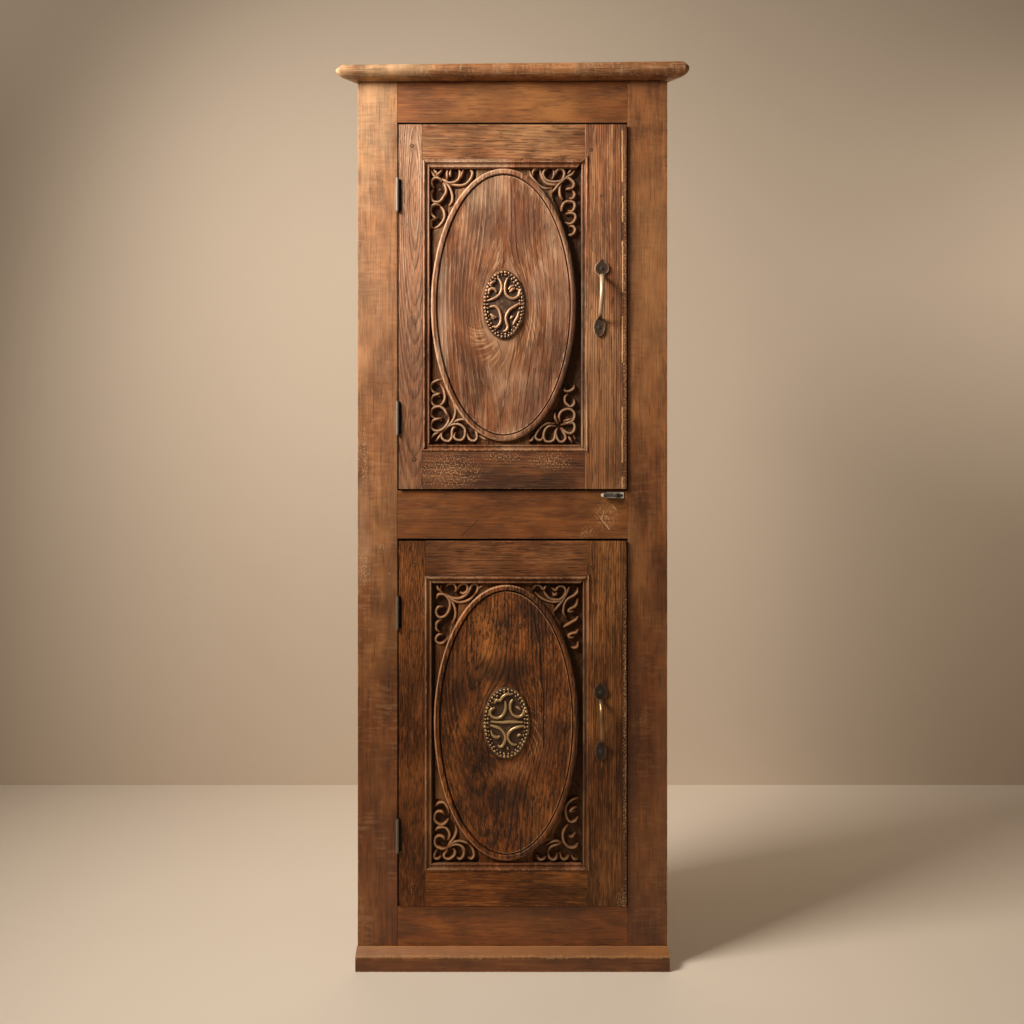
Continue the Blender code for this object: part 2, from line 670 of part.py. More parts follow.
def add_handle(door, height):
    """One casting: an arched bar that flattens into a leaf at each end."""
    half = handle_stations()
    stations = half + [(-place, rise, wide, thick) for place, rise, wide, thick in reversed(half[:-1])]
    x = DOOR_RIGHT - HANDLE_INSET
    z = door.bottom + height
    loops = []
    for i, (place, rise, wide, thick) in enumerate(stations):
        before = stations[max(i - 1, 0)]
        after = stations[min(i + 1, len(stations) - 1)]
        tangent = Vector((after[0] - before[0], after[1] - before[1])).normalized()
        loop = []
        for k in range(HANDLE_SIDES):
            angle = 2 * math.pi * k / HANDLE_SIDES
            normal = thick * math.sin(angle)
            along = place + normal * tangent.y
            out = rise - normal * tangent.x
            loop.append((x + wide * math.cos(angle), DOOR_FRONT_Y - FIT - out, z + along))
        loops.append(loop)
    add_piece(door.name + "_handle", loft(loops), BRONZE, door.pivot, smooth=True)


def add_door(door, handle_height, rosette_size):
    add_door_rail(door, "bottom_rail", door.bottom, door.day_bottom, door.day_bottom)
    add_door_rail(door, "top_rail", door.day_top, door.top, door.day_top)
    hinge_stile = add_door_stile(door, "hinge_stile", DOOR_LEFT, door.day_left, door.day_left, -1)
    add_door_stile(door, "lock_stile", door.day_right, DOOR_RIGHT, door.day_right, 1)
    for place, centre_z in door.hinges.items():
        let_in_door_leaf(hinge_stile, centre_z)
        add_hinge(f"{door.name}_{place}_hinge", centre_z, door.pivot)
    add_carved_panel(door)
    add_moulding(door)
    add_oval_field(door)
    add_rosette(door, *rosette_size)
    add_handle(door, handle_height)


# Turn catch: a lever on a post, below the free corner of the upper door

def add_catch():
    x = OPENING_WIDTH / 2 - CATCH_INSET
    z = UPPER_OPENING_Z - CATCH_DROP
    plate_back = FACE_Y - FIT
    plate_front = plate_back - CATCH_PLATE_THICKNESS
    lever_back = DOOR_FRONT_Y - CATCH_CLEARANCE
    lever_front = lever_back - LEVER_THICKNESS
    half_wide = CATCH_PLATE_WIDTH / 2
    half_tall = CATCH_PLATE_HEIGHT / 2
    low = (x - half_wide, plate_front, z - half_tall)
    high = (x + half_wide, plate_back, z + half_tall)
    plate = add_piece("catch_plate", box(low, high), IRON)
    post = [
        (plate_front + CATCH_PLATE_THICKNESS / 2, CATCH_POST_RADIUS),
        (lever_back + FIT, CATCH_POST_RADIUS),
        (lever_back + FIT, CATCH_NECK_RADIUS),
        (lever_front - FIT, CATCH_NECK_RADIUS),
        (lever_front - FIT, CATCH_HEAD_RADIUS),
        (lever_front - FIT - CATCH_HEAD_HEIGHT, CATCH_HEAD_TIP_RADIUS),
    ]
    combine(plate, "UNION", turned((x, 0.0, z), post, CATCH_SIDES, "Y"))

    pivot = add_pivot("catch_axis", (x, lever_back, z))
    outline = []
    for k in range(CATCH_SIDES + 1):
        angle = math.pi * k / CATCH_SIDES - math.pi / 2
        outline.append((x + LEVER_EYE_RADIUS * math.cos(angle), z + LEVER_EYE_RADIUS * math.sin(angle)))
    tip_x = x - LEVER_REACH + LEVER_TIP_RADIUS
    for k in range(CATCH_SIDES // 2 + 1):
        angle = 2 * math.pi * k / CATCH_SIDES + math.pi / 2
        outline.append((tip_x + LEVER_TIP_RADIUS * math.cos(angle), z + LEVER_TIP_RADIUS * math.sin(angle)))
    blade = loft([[(px, y, pz) for px, pz in outline] for y in (lever_back, lever_front)])
    lever = add_piece("catch_lever", blade, IRON, pivot)
    low = (tip_x - LEVER_TAB_LENGTH / 2, lever_front - LEVER_TAB_HEIGHT, z - LEVER_TAB_WIDTH / 2)
    high = (tip_x + LEVER_TAB_LENGTH / 2, lever_back - LEVER_THICKNESS / 2, z + LEVER_TAB_WIDTH / 2)
    combine(lever, "UNION", box(low, high))
    bore = [(lever_back + LEVER_THICKNESS, CATCH_NECK_RADIUS + FIT)]
    bore.append((lever_front - LEVER_THICKNESS, CATCH_NECK_RADIUS + FIT))
    combine(lever, "DIFFERENCE", turned((x, 0.0, z), bore, CATCH_SIDES, "Y"))


clear_scene()

for rail_name, rail_bottom, rail_top in face_rails():
    add_face_rail(rail_name, rail_bottom, rail_top)
left_stile = add_face_stile("face_stile_left", -1)
add_face_stile("face_stile_right", 1)

add_side_panel("side_panel_left", -1)
add_side_panel("side_panel_right", 1)
add_back_board()
add_level("bottom_board", BOTTOM_RAIL_HEIGHT, FLOOR_THICKNESS)
add_level("middle_board", UPPER_OPENING_Z, FLOOR_THICKNESS)
shelf_tops = {
    "lower_shelf": BOTTOM_RAIL_HEIGHT + LOWER_SHELF_RISE,
    "upper_shelf": UPPER_OPENING_Z + UPPER_SHELF_RISE,
}
for shelf_name, shelf_top in shelf_tops.items():
    add_level(shelf_name, shelf_top, SHELF_THICKNESS)
    add_cleat(shelf_name + "_cleat_left", -1, shelf_top)
    add_cleat(shelf_name + "_cleat_right", 1, shelf_top)
add_top_board()
add_plinth()

lower_door = Door(
    "lower_door", BOTTOM_RAIL_HEIGHT, LOWER_HINGE_STILE, LOWER_LOCK_STILE, LOWER_TOP_RAIL, LOWER_BOTTOM_RAIL
)
upper_door = Door(
    "upper_door", UPPER_OPENING_Z, UPPER_HINGE_STILE, UPPER_LOCK_STILE, UPPER_TOP_RAIL, UPPER_BOTTOM_RAIL
)
for hung_door in (lower_door, upper_door):
    for hinge_z in hung_door.hinges.values():
        let_in_frame_leaf(left_stile, hinge_z)
add_door(lower_door, LOWER_HANDLE_HEIGHT, (LOWER_ROSETTE_WIDTH, LOWER_ROSETTE_HEIGHT))
add_door(upper_door, UPPER_HANDLE_HEIGHT, (UPPER_ROSETTE_WIDTH, UPPER_ROSETTE_HEIGHT))
add_catch()
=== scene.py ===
"""The looks of a tall corner cabinet with two carved doors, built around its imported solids.

Metres, +Z up, the front faces -Y. Every piece is made in place, so its object sits at the origin.
"""

import math

import bmesh
import bpy
from mathutils import Matrix, Vector, noise


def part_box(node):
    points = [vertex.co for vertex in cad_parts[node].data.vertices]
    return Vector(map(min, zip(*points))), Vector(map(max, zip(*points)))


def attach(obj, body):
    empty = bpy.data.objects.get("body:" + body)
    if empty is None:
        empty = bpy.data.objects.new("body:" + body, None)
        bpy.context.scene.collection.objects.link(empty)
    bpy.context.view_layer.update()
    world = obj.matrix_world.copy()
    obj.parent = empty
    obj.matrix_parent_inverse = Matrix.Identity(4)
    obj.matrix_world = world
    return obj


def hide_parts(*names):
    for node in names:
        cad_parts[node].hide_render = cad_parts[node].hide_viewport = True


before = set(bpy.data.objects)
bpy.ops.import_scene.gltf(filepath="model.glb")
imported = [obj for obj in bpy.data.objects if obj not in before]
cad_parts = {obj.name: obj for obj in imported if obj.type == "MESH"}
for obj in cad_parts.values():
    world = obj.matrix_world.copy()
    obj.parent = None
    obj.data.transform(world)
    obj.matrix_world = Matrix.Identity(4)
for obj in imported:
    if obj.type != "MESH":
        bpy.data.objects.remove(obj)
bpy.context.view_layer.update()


# Side walls: three upright planks a side, in old brown timber, butted edge to edge and nailed to the
# face frame and to the narrow back board. They stand along the walls of the room, at 45 degrees.

def put(tree, kind, inputs=(), **settings):
    """Add a shader or geometry node; an input is given as a value or as the socket that feeds it."""
    node = tree.nodes.new(kind)
    for name, value in settings.items():
        setattr(node, name, value)
    for name, value in dict(inputs).items():
        if isinstance(value, bpy.types.NodeSocket):
            tree.links.new(value, node.inputs[name])
        else:
            node.inputs[name].default_value = value
    return node


def calc(tree, operation, *values):
    return put(tree, "ShaderNodeMath", dict(enumerate(values)), operation=operation).outputs[0]


def times(tree, first, *others):
    for other in others:
        first = calc(tree, "MULTIPLY", first, other)
    return first


def fade(tree, value, low, high, start=0.0, end=1.0):
    """A smooth step from start to end while the value goes from low to high."""
    steps = {0: value, 1: low, 2: high, 3: start, 4: end}
    return put(tree, "ShaderNodeMapRange", steps, interpolation_type="SMOOTHSTEP").outputs[0]


def blend(tree, share, under, over, how="MIX"):
    parts = {0: share, 6: under, 7: over}
    return put(tree, "ShaderNodeMix", parts, data_type="RGBA", blend_type=how).outputs[2]


def vector_calc(tree, operation, *values):
    return put(tree, "ShaderNodeVectorMath", dict(enumerate(values)), operation=operation).outputs[0]


def measure(tree, operation, *values):
    """A number from vectors: a length, a distance or a dot product."""
    return put(tree, "ShaderNodeVectorMath", dict(enumerate(values)), operation=operation).outputs["Value"]


def scaled(tree, vector, factor):
    return put(tree, "ShaderNodeVectorMath", {0: vector, "Scale": factor}, operation="SCALE").outputs[0]


def split(tree, vector):
    return put(tree, "ShaderNodeSeparateXYZ", {0: vector}).outputs


def join(tree, *values):
    return put(tree, "ShaderNodeCombineXYZ", dict(enumerate(values))).outputs[0]


def place_on(tree, axis=None):
    """Where a point of a piece lies on the cabinet, or how far along X, Y or Z."""
    place = put(tree, "ShaderNodeTexCoord").outputs["Object"]
    return split(tree, place)[axis] if axis else place


def marked(tree, name):
    """How worn and how dirty a piece is, with the highlight and shade painted into some pieces, as kept on its
    points.
    """
    return put(tree, "ShaderNodeAttribute", attribute_name=name).outputs["Fac"]


def speckle(tree, vector, stretch, detail=2.0, output=0):
    """Noise that repeats so many times a metre along each of the three directions."""
    place = vector_calc(tree, "MULTIPLY", vector, stretch)
    return put(tree, "ShaderNodeTexNoise", {"Vector": place, "Scale": 1.0, "Detail": detail}).outputs[output]


def jitter(tree, vector, stretch, detail):
    """The same noise, moved to lie about zero."""
    return calc(tree, "SUBTRACT", speckle(tree, vector, stretch, detail), 0.5)


def stir(tree, vector, stretch, detail):
    """Noise about zero in all three directions."""
    return vector_calc(tree, "SUBTRACT", speckle(tree, vector, stretch, detail, 1), (0.5, 0.5, 0.5))


def stain(red, green, blue):
    """A colour as a paint chart gives it, 0 to 255, turned into linear light."""
    channels = []
    for value in (red, green, blue):
        share = value / 255
        channels.append(share / 12.92 if share <= 0.04045 else ((share + 0.055) / 1.055) ** 2.4)
    return (*channels, 1.0)


def new_group(name, inputs, outputs, kind="ShaderNodeTree"):
    """An empty group of nodes, with the sockets that it is given and that it gives."""
    tree = bpy.data.node_groups.new(name, kind)
    for way, sockets in (("INPUT", inputs), ("OUTPUT", outputs)):
        for label, socket in sockets.items():
            tree.interface.new_socket(label, in_out=way, socket_type="NodeSocket" + socket)
    return tree, tree.nodes.new("NodeGroupInput").outputs, tree.nodes.new("NodeGroupOutput").inputs


ACROSS_GRAIN = (1, 1, 0)
DIRT_AND_SHADE_COLOUR = (0.010, 0.006, 0.0035, 1)
PORE_SHADE = (0.34, 0.27, 0.21, 1)
SOAKED_SHADE = (0.46, 0.38, 0.32, 1)
FOOT_GRIME_AND_SHADE_COLOUR = (0.44, 0.31, 0.18, 1)


def build_timber_group():
    """Sawn timber: growth rings round a pith, fibres, pores, blotches, bare edges, dirt with painted shade in
    it on some pieces, and a darker foot of grime and painted shade.

    Grain has its Z along the fibres and its origin on the pith. Place is the plain place on the cabinet, and
    Cloud is the same with its Z along the fibres."""
    inputs = {"Grain": "Vector", "Place": "Vector", "Cloud": "Vector"}
    inputs.update({"Pale": "Color", "Tone": "Color", "Deep": "Color"})
    for label in (
        "Ring Spacing", "Wander", "Curl", "Rings", "Fibres", "Pores", "Blotches", "Edge", "Bare Edges", "Dirt And Shade",
        "Foot Grime And Painted Shade", "Shade From", "Shade To", "Base Roughness",
    ):
        inputs[label] = "Float"
    outputs = {"Color": "Color", "Roughness": "Float", "Height": "Float"}
    tree, given, out = new_group("aged_timber", inputs, outputs)
    grain, place, cloud = given["Grain"], given["Place"], given["Cloud"]

    lines = grain
    for amount, stretch in (("Wander", (5, 5, 0.9)), ("Curl", (30, 30, 7))):
        sway = scaled(tree, stir(tree, grain, stretch, 2), given[amount])
        lines = vector_calc(tree, "ADD", lines, vector_calc(tree, "MULTIPLY", sway, ACROSS_GRAIN))
    radius = measure(tree, "LENGTH", vector_calc(tree, "MULTIPLY", lines, ACROSS_GRAIN))
    ring = calc(tree, "DIVIDE", radius, given["Ring Spacing"])
    season = calc(tree, "FRACT", ring)
    late = times(tree, fade(tree, season, 0.25, 0.85), fade(tree, season, 0.88, 1.0, 1.0, 0.0))
    year = calc(tree, "FLOOR", ring)
    growth = put(tree, "ShaderNodeTexWhiteNoise", {"W": year}, noise_dimensions="1D").outputs[0]
    late = times(tree, late, calc(tree, "MULTIPLY_ADD", growth, 0.75, 0.25))

    def elsewhere(vector, *shift):
        return vector_calc(tree, "ADD", vector, shift)

    fibre = speckle(tree, lines, (260, 260, 8), 3)
    streak = speckle(tree, lines, (130, 130, 3.5), 3)
    pore = fade(tree, speckle(tree, lines, (460, 460, 20), 2), 0.58, 0.66)
    fleck = fade(tree, speckle(tree, elsewhere(lines, 0.7, 0.3, 0.9), (330, 330, 26), 2), 0.59, 0.67)
    blotch = fade(tree, speckle(tree, cloud, (9, 9, 4.5), 5), 0.47, 0.66)
    patch = fade(tree, speckle(tree, elsewhere(cloud, 3.1, 1.7, 5.3), (8, 8, 3.4), 4), 0.47, 0.68)
    soaked = fade(tree, speckle(tree, elsewhere(cloud, 7.7, 2.9, 1.3), (16, 16, 8), 5), 0.55, 0.70)

    colour = blend(tree, times(tree, late, given["Rings"]), given["Tone"], given["Deep"])
    light = times(tree, fade(tree, streak, 0.48, 0.68), given["Fibres"], 0.7)
    colour = blend(tree, light, colour, given["Pale"])
    dark = times(tree, fade(tree, fibre, 0.50, 0.62), given["Fibres"], 0.6)
    colour = blend(tree, dark, colour, given["Deep"])
    colour = blend(tree, times(tree, patch, given["Blotches"]), colour, given["Pale"])
    colour = blend(tree, times(tree, blotch, given["Blotches"]), colour, given["Deep"])
    mottle = fade(tree, speckle(tree, cloud, (34, 34, 16), 5), 0.36, 0.64, 0.62, 1.22)
    colour = blend(tree, given["Blotches"], colour, join(tree, mottle, mottle, mottle), "MULTIPLY")
    colour = blend(tree, times(tree, soaked, given["Blotches"]), colour, SOAKED_SHADE, "MULTIPLY")
    colour = blend(tree, times(tree, fleck, given["Fibres"], 0.5), colour, given["Pale"])
    pitted = times(tree, pore, given["Pores"])
    colour = blend(tree, pitted, colour, PORE_SHADE, "MULTIPLY")
    # Grime and painted shade: the timber grows darker and redder towards the floor, standing in partly for the
    # light falling off down there.
    height = split(tree, place)["Z"]
    foot = times(tree, fade(tree, height, given["Shade From"], given["Shade To"]), given["Foot Grime And Painted Shade"])
    colour = blend(tree, foot, colour, FOOT_GRIME_AND_SHADE_COLOUR, "MULTIPLY")
    # The dirt kept on the points carries painted shade too, on the right-hand moulding stick and round the oval
    # beads.
    crumbs = jitter(tree, place, (170, 170, 60), 3)
    grime_and_shade = fade(tree, calc(tree, "MULTIPLY_ADD", crumbs, 0.5, given["Dirt And Shade"]), 0.15, 0.85)
    colour = blend(tree, grime_and_shade, colour, DIRT_AND_SHADE_COLOUR)
    # The edge wear kept on the points carries a painted highlight too, on the side of the oval beads towards
    # the lamp.
    rubbed = fade(tree, calc(tree, "MULTIPLY_ADD", crumbs, 1.6, given["Edge"]), 0.55, 0.85)
    colour = blend(tree, times(tree, rubbed, given["Bare Edges"]), colour, given["Pale"])
    tree.links.new(colour, out["Color"])

    rough = calc(tree, "MULTIPLY_ADD", calc(tree, "SUBTRACT", fibre, 0.5), 0.35, given["Base Roughness"])
    rough = calc(tree, "MULTIPLY_ADD", pitted, 0.15, rough)
    tree.links.new(calc(tree, "MULTIPLY_ADD", grime_and_shade, 0.25, rough), out["Roughness"])
    relief = calc(tree, "MULTIPLY_ADD", streak, given["Fibres"], times(tree, late, given["Rings"]))
    relief = calc(tree, "MULTIPLY_ADD", times(tree, fibre, given["Fibres"]), 0.6, relief)
    tree.links.new(calc(tree, "MULTIPLY_ADD", pitted, -0.5, relief), out["Height"])
    return tree


timber_group = build_timber_group()
WAX_TINT = (1.0, 0.84, 0.66, 1.0)
WAX_ROUGHNESS = 0.42


def new_finish(name):
    """A new material, with its tree and the inputs of its shader."""
    material = bpy.data.materials.new(name)
    material.use_nodes = True
    tree = material.node_tree
    return tree, tree.nodes["Principled BSDF"].inputs, material


def timber(name, look, centre, grain="Z", pith=(0.03, 0.10), tilt=0.02, seed=0.0, clouds=None):
    """A finish for one board. Its pith lies off its centre by so much across and behind, and tilts.

    Its clouds of colour stretch along the grain, unless another direction is given for them."""
    tree, shader, material = new_finish(name)
    place = place_on(tree)
    lay = Matrix.Rotation(-math.pi / 2, 3, "Y") if grain == "X" else Matrix.Identity(3)
    turn = Matrix.Rotation(tilt, 3, "X") @ lay
    start = Vector((*pith, seed)) - turn @ Vector(centre)
    mapping = {"Vector": place, "Location": start, "Rotation": turn.to_euler("XYZ")}
    values = {key: value for key, value in look.items() if key not in ("Bump", "Wax", "Gloss")}
    values["Grain"] = put(tree, "ShaderNodeMapping", mapping).outputs[0]
    values["Place"] = place
    parts = split(tree, place)
    turned = join(tree, parts["Z"], parts["Y"], parts["X"])
    values["Cloud"] = turned if (clouds or grain) == "X" else place
    values["Edge"] = marked(tree, "wear_and_highlight")
    values["Dirt And Shade"] = marked(tree, "dirt_and_shade")
    wood = put(tree, "ShaderNodeGroup", values, node_tree=timber_group).outputs
    bump = put(tree, "ShaderNodeBump", {"Height": wood["Height"], "Strength": 1.0, "Distance": look["Bump"]})
    tree.links.new(wood["Color"], shader["Base Color"])
    tree.links.new(wood["Roughness"], shader["Roughness"])
    tree.links.new(bump.outputs[0], shader["Normal"])
    shader["Specular IOR Level"].default_value = look.get("Gloss", 0.5)
    shader["Specular Tint"].default_value = WAX_TINT
    shader["Coat Weight"].default_value = look["Wax"]
    shader["Coat Roughness"].default_value = WAX_ROUGHNESS
    return material


def tinted(look, red, green, blue):
    """The same look, its three colours deepened or lightened alike."""
    factors = (red, green, blue, 1.0)
    changed = {}
    for tone in ("Pale", "Tone", "Deep"):
        changed[tone] = tuple(value * factor for value, factor in zip(look[tone], factors))
    return {**look, **changed}


def add_object(name, data):
    item = bpy.data.objects.new(name, data)
    bpy.context.collection.objects.link(item)
    return item


def to_mesh(name, bm):
    """Turn a worked mesh into plain mesh data, with all its faces looking outwards."""
    bmesh.ops.recalc_face_normals(bm, faces=bm.faces)
    mesh = bpy.data.meshes.new(name)
    bm.to_mesh(mesh)
    bm.free()
    return mesh


def make_piece(name, bm, material, crease=38):
    """Make a worked mesh a piece, smooth except at edges sharper than the crease, in degrees."""
    mesh = to_mesh(name, bm)
    mesh.shade_smooth()
    mesh.set_sharp_from_angle(angle=math.radians(crease))
    mesh.materials.append(material)
    return add_object(name, mesh)


def fit(piece, body, slot, *nodes):
    """Say which body a piece moves with and which solids it stands in for; the slot, which names what it is
    made of, is not used.
    """
    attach(piece, body)
    if nodes:
        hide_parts(*nodes)


def skin(bm, rings, caps=(0, -1)):
    """Join rings of points into a skin, and close it with the rings named as caps."""
    for near, far in zip(rings, rings[1:]):
        for i in range(len(near)):
            bm.faces.new((near[i - 1], near[i], far[i], far[i - 1]))
    for cap in caps:
        bm.faces.new(rings[cap])


SHOULDER = 0.004
FULL_RUB = 0.0008


def sweep_board(bm, outline, span, along="Z", ease=0.001, chip=0.0, seed=0, pitch=0.008):
    """Add a board swept along its grain, with arrises that are eased and worn unevenly.

    The outline across the grain is a list of corners, or a function that gives them at a place along it.
    Ease and chip are one value, or one for each corner. The wear is kept on the points."""
    wear_and_highlight = bm.verts.layers.float.get("wear_and_highlight") or bm.verts.layers.float.new("wear_and_highlight")
    count = max(2, round((span[1] - span[0]) / pitch))
    rings = []
    for k in range(count + 1):
        u = span[0] + (span[1] - span[0]) * k / count
        corners = [Vector(corner) for corner in (outline(u) if callable(outline) else outline)]
        ring = []
        for i, here in enumerate(corners):
            back = corners[i - 1] - here
            ahead = corners[(i + 1) % len(corners)] - here
            soft = ease[i] if isinstance(ease, tuple) else ease
            lost = chip[i] if isinstance(chip, tuple) else chip
            wander = noise.noise((22 * u, 7.1 * seed + 3.7 * i, 0.0))
            bite = max(0.0, noise.noise((60 * u, 3.3 * seed + 9.1 * i, 5.0)) - 0.2)
            room = 0.45 * min(back.length, ahead.length)
            radius = min(soft * (1 + 0.5 * wander) + lost * bite, 0.8 * room)
            reach = min(radius + SHOULDER, room)
            start = here + back.normalized() * radius
            end = here + ahead.normalized() * radius
            rub = min(1.0, radius / FULL_RUB)
            curve = [(here + back.normalized() * reach, 0.0), (start, 0.75 * rub)]
            for t in (1 / 3, 2 / 3):
                bent = start * (1 - t) ** 2 + here * 2 * t * (1 - t) + end * t ** 2
                curve.append((bent, rub))
            curve += [(end, 0.75 * rub), (here + ahead.normalized() * reach, 0.0)]
            for (a, b), amount in curve:
                vert = bm.verts.new((a, b, u) if along == "Z" else (u, a, b))
                vert[wear_and_highlight] = amount
                ring.append(vert)
        rings.append(ring)
    skin(bm, rings)


def worn_board(name, material, *args, **kwargs):
    bm = bmesh.new()
    sweep_board(bm, *args, **kwargs)
    return make_piece(name, bm, material)


wall_look = {
    "Pale": stain(176, 128, 88), "Tone": stain(132, 84, 50), "Deep": stain(84, 48, 26),
    "Ring Spacing": 0.0045, "Rings": 0.45, "Fibres": 0.55, "Pores": 0.6, "Blotches": 0.5,
    "Bare Edges": 0.4, "Foot Grime And Painted Shade": 1.0, "Shade From": 1.2, "Shade To": 0.4, "Wander": 0.02, "Curl": 0.0016,
    "Base Roughness": 0.62, "Bump": 0.0005, "Wax": 0.0,
}
WALL_FRONT_X = 0.286
PLANK_THICK = 0.018
PLANK_GAP = 0.002
for side, wall in ((-1, "left"), (1, "right")):
    low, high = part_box(f"side_panel_{wall}")
    outer = [Vector((side * WALL_FRONT_X, low.y)), Vector((side * (WALL_FRONT_X - high.y + low.y), high.y))]
    inward = Vector((-side * PLANK_THICK, -PLANK_THICK)) / math.sqrt(2)
    planks = bmesh.new()
    for first, last, seed in ((0.0, 0.37, 1), (0.37, 0.68, 2), (0.68, 1.0, 3)):
        near = outer[0].lerp(outer[1], first + PLANK_GAP)
        far = outer[0].lerp(outer[1], last - PLANK_GAP)
        corners = [near, far, far + inward, near + inward]
        seed += 10 * side
        sweep_board(planks, corners, (low.z, high.z), ease=0.0015, chip=0.003, seed=seed, pitch=0.02)
    wall_timber = timber(
        f"wall_timber_{wall}", wall_look, (side * 0.2, 0, 0.9), pith=(0.05 * side, 0.16), tilt=0.03, seed=side
    )
    fit(make_piece(f"wall_planks_{wall}", planks, wall_timber), "carcass", "face_wood", f"side_panel_{wall}")


# Back board: one narrow plank of the same timber across the rear corner. Its edges are planed to the
# line of the walls, and the side walls are nailed to it.

low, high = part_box("back_board")
BEVEL = 0.020
outline = [(low.x, low.y), (high.x, low.y), (high.x - BEVEL, high.y), (low.x + BEVEL, high.y)]
back_timber = timber("back_timber", wall_look, (0, 0.15, 0.9), pith=(0.01, 0.08), tilt=0.02, seed=3)
back_plank = worn_board(
    "back_plank", back_timber, outline, (low.z, high.z), ease=0.0015, chip=0.003, seed=4, pitch=0.02
)
fit(back_plank, "carcass", "face_wood", "back_board")


# Floors, shelves and cleats: plain sawn boards inside the cupboards, unwaxed, with their planed faces as
# the solids give them. The shelves rest loose on cleats that are nailed to the side walls.

inner_look = {
    "Pale": stain(190, 146, 100), "Tone": stain(152, 106, 66), "Deep": stain(104, 66, 38),
    "Ring Spacing": 0.005, "Rings": 0.5, "Fibres": 0.6, "Pores": 0.6, "Blotches": 0.35,
    "Bare Edges": 0.0, "Foot Grime And Painted Shade": 0.3, "Shade From": 1.2, "Shade To": 0.4, "Wander": 0.02, "Curl": 0.0016,
    "Base Roughness": 0.7, "Bump": 0.0004, "Wax": 0.0,
}


def refinish(node, material):
    """Give a solid that shows as it is a better finish."""
    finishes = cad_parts[node].data.materials
    finishes.clear()
    finishes.append(material)


inner_nodes = ["bottom_board", "middle_board", "lower_shelf", "upper_shelf"]
inner_nodes += [f"{shelf}_shelf_cleat_{wall}" for shelf in ("lower", "upper") for wall in ("left", "right")]
for order, node in enumerate(inner_nodes):
    low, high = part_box(node)
    board_timber = timber(f"{node}_timber", inner_look, (low + high) / 2, "X", (0.02, 0.06), 0.02, order)
    refinish(node, board_timber)


# Face frame: two full-height stiles and three rails tenoned between them, in honey-brown waxed timber.
# The joints are flush and tight; the outer arrises are rubbed, and the wax has blotched over the years.

face_look = {
    "Pale": stain(206, 152, 100), "Tone": stain(166, 106, 62), "Deep": stain(112, 64, 33),
    "Ring Spacing": 0.0032, "Rings": 0.35, "Fibres": 0.48, "Pores": 0.60, "Blotches": 0.62,
    "Bare Edges": 0.45, "Foot Grime And Painted Shade": 1.0, "Shade From": 1.4, "Shade To": 0.4, "Wander": 0.02, "Curl": 0.0016,
    "Base Roughness": 0.50, "Bump": 0.00022, "Wax": 0.3,
}
STILE_RELIEF = 0.0004
for side, hand in ((-1, "left"), (1, "right")):
    low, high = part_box(f"face_stile_{hand}")
    inner = min(abs(low.x), abs(high.x)) + STILE_RELIEF
    rim = max(abs(low.x), abs(high.x))
    rear = rim - (high.y - low.y)
    outline = [(side * x, y) for x, y in ((inner, low.y), (rim, low.y), (rear, high.y), (inner, high.y))]
    stile_look = face_look if hand == "left" else tinted(face_look, 0.84, 0.78, 0.68)
    stile_timber = timber(
        f"face_stile_{hand}_timber", stile_look, (side * 0.27, -0.1, 0.9),
        pith=(0.09 * side, 0.05), tilt=0.012, seed=side,
    )
    stile = worn_board(
        f"face_stile_{hand}_worn", stile_timber, outline, (low.z, high.z),
        ease=(0.0002, 0.0008, 0.001, 0.001), chip=(0.0, 0.0012, 0.0, 0.0), seed=20 + side,
    )
    fit(stile, "carcass", "face_wood", f"face_stile_{hand}")


def lay_over(material, share, colour, strength=1.0):
    """Lay a colour over a finish, by a share that changes over the surface."""
    tree = material.node_tree
    socket = tree.nodes["Principled BSDF"].inputs["Base Color"]
    under = socket.links[0].from_socket
    share = share if strength == 1.0 else times(tree, share, strength)
    tree.links.new(blend(tree, share, under, colour), socket)


JOINT_GAP = 0.0001
inner_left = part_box("face_stile_left")[1].x
inner_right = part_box("face_stile_right")[0].x
rail_timbers = {}
rail_tints = {"bottom": (1.42, 1.37, 0.86), "middle": (0.84, 0.72, 0.51), "top": (0.64, 0.50, 0.33)}
for order, level in enumerate(("bottom", "middle", "top")):
    low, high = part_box(f"face_rail_{level}")
    outline = [(low.y, low.z), (low.y, high.z), (high.y, high.z), (high.y, low.z)]
    rail_look = tinted(face_look, *rail_tints[level])
    rail_timbers[level] = timber(
        f"face_rail_{level}_timber", rail_look, (0, -0.1, (low.z + high.z) / 2), "X", (0.03, 0.09), 0.03, order
    )
    tree = rail_timbers[level].node_tree
    # Painted shade: a dark line along the lower edge of each rail, for the shade in the gap below it.
    painted_gap_shade = fade(tree, place_on(tree, "Z"), low.z + 0.0016, low.z + 0.0006)
    lay_over(rail_timbers[level], painted_gap_shade, stain(30, 16, 8))
    rail = worn_board(
        f"face_rail_{level}_worn", rail_timbers[level], outline,
        (inner_left + JOINT_GAP, inner_right - JOINT_GAP), "X",
        ease=(0.0008, 0.0002, 0.0008, 0.0008), chip=(0.0012, 0.0, 0.0, 0.0), seed=30 + order,
    )
    fit(rail, "carcass", "face_wood", f"face_rail_{level}")


def pattern(name, inputs):
    """Make the function below it a group of nodes that says how strongly a pattern shows at each place."""
    def build(draw):
        tree, given, out = new_group(name, {"Place": "Vector", **inputs}, {"Mask": "Float"})
        tree.links.new(draw(tree, given), out["Mask"])
        return tree
    return build


def mask(tree, group, values):
    """Use a pattern in a finish, with these values."""
    return put(tree, "ShaderNodeGroup", {"Place": place_on(tree), **values}, node_tree=group).outputs["Mask"]


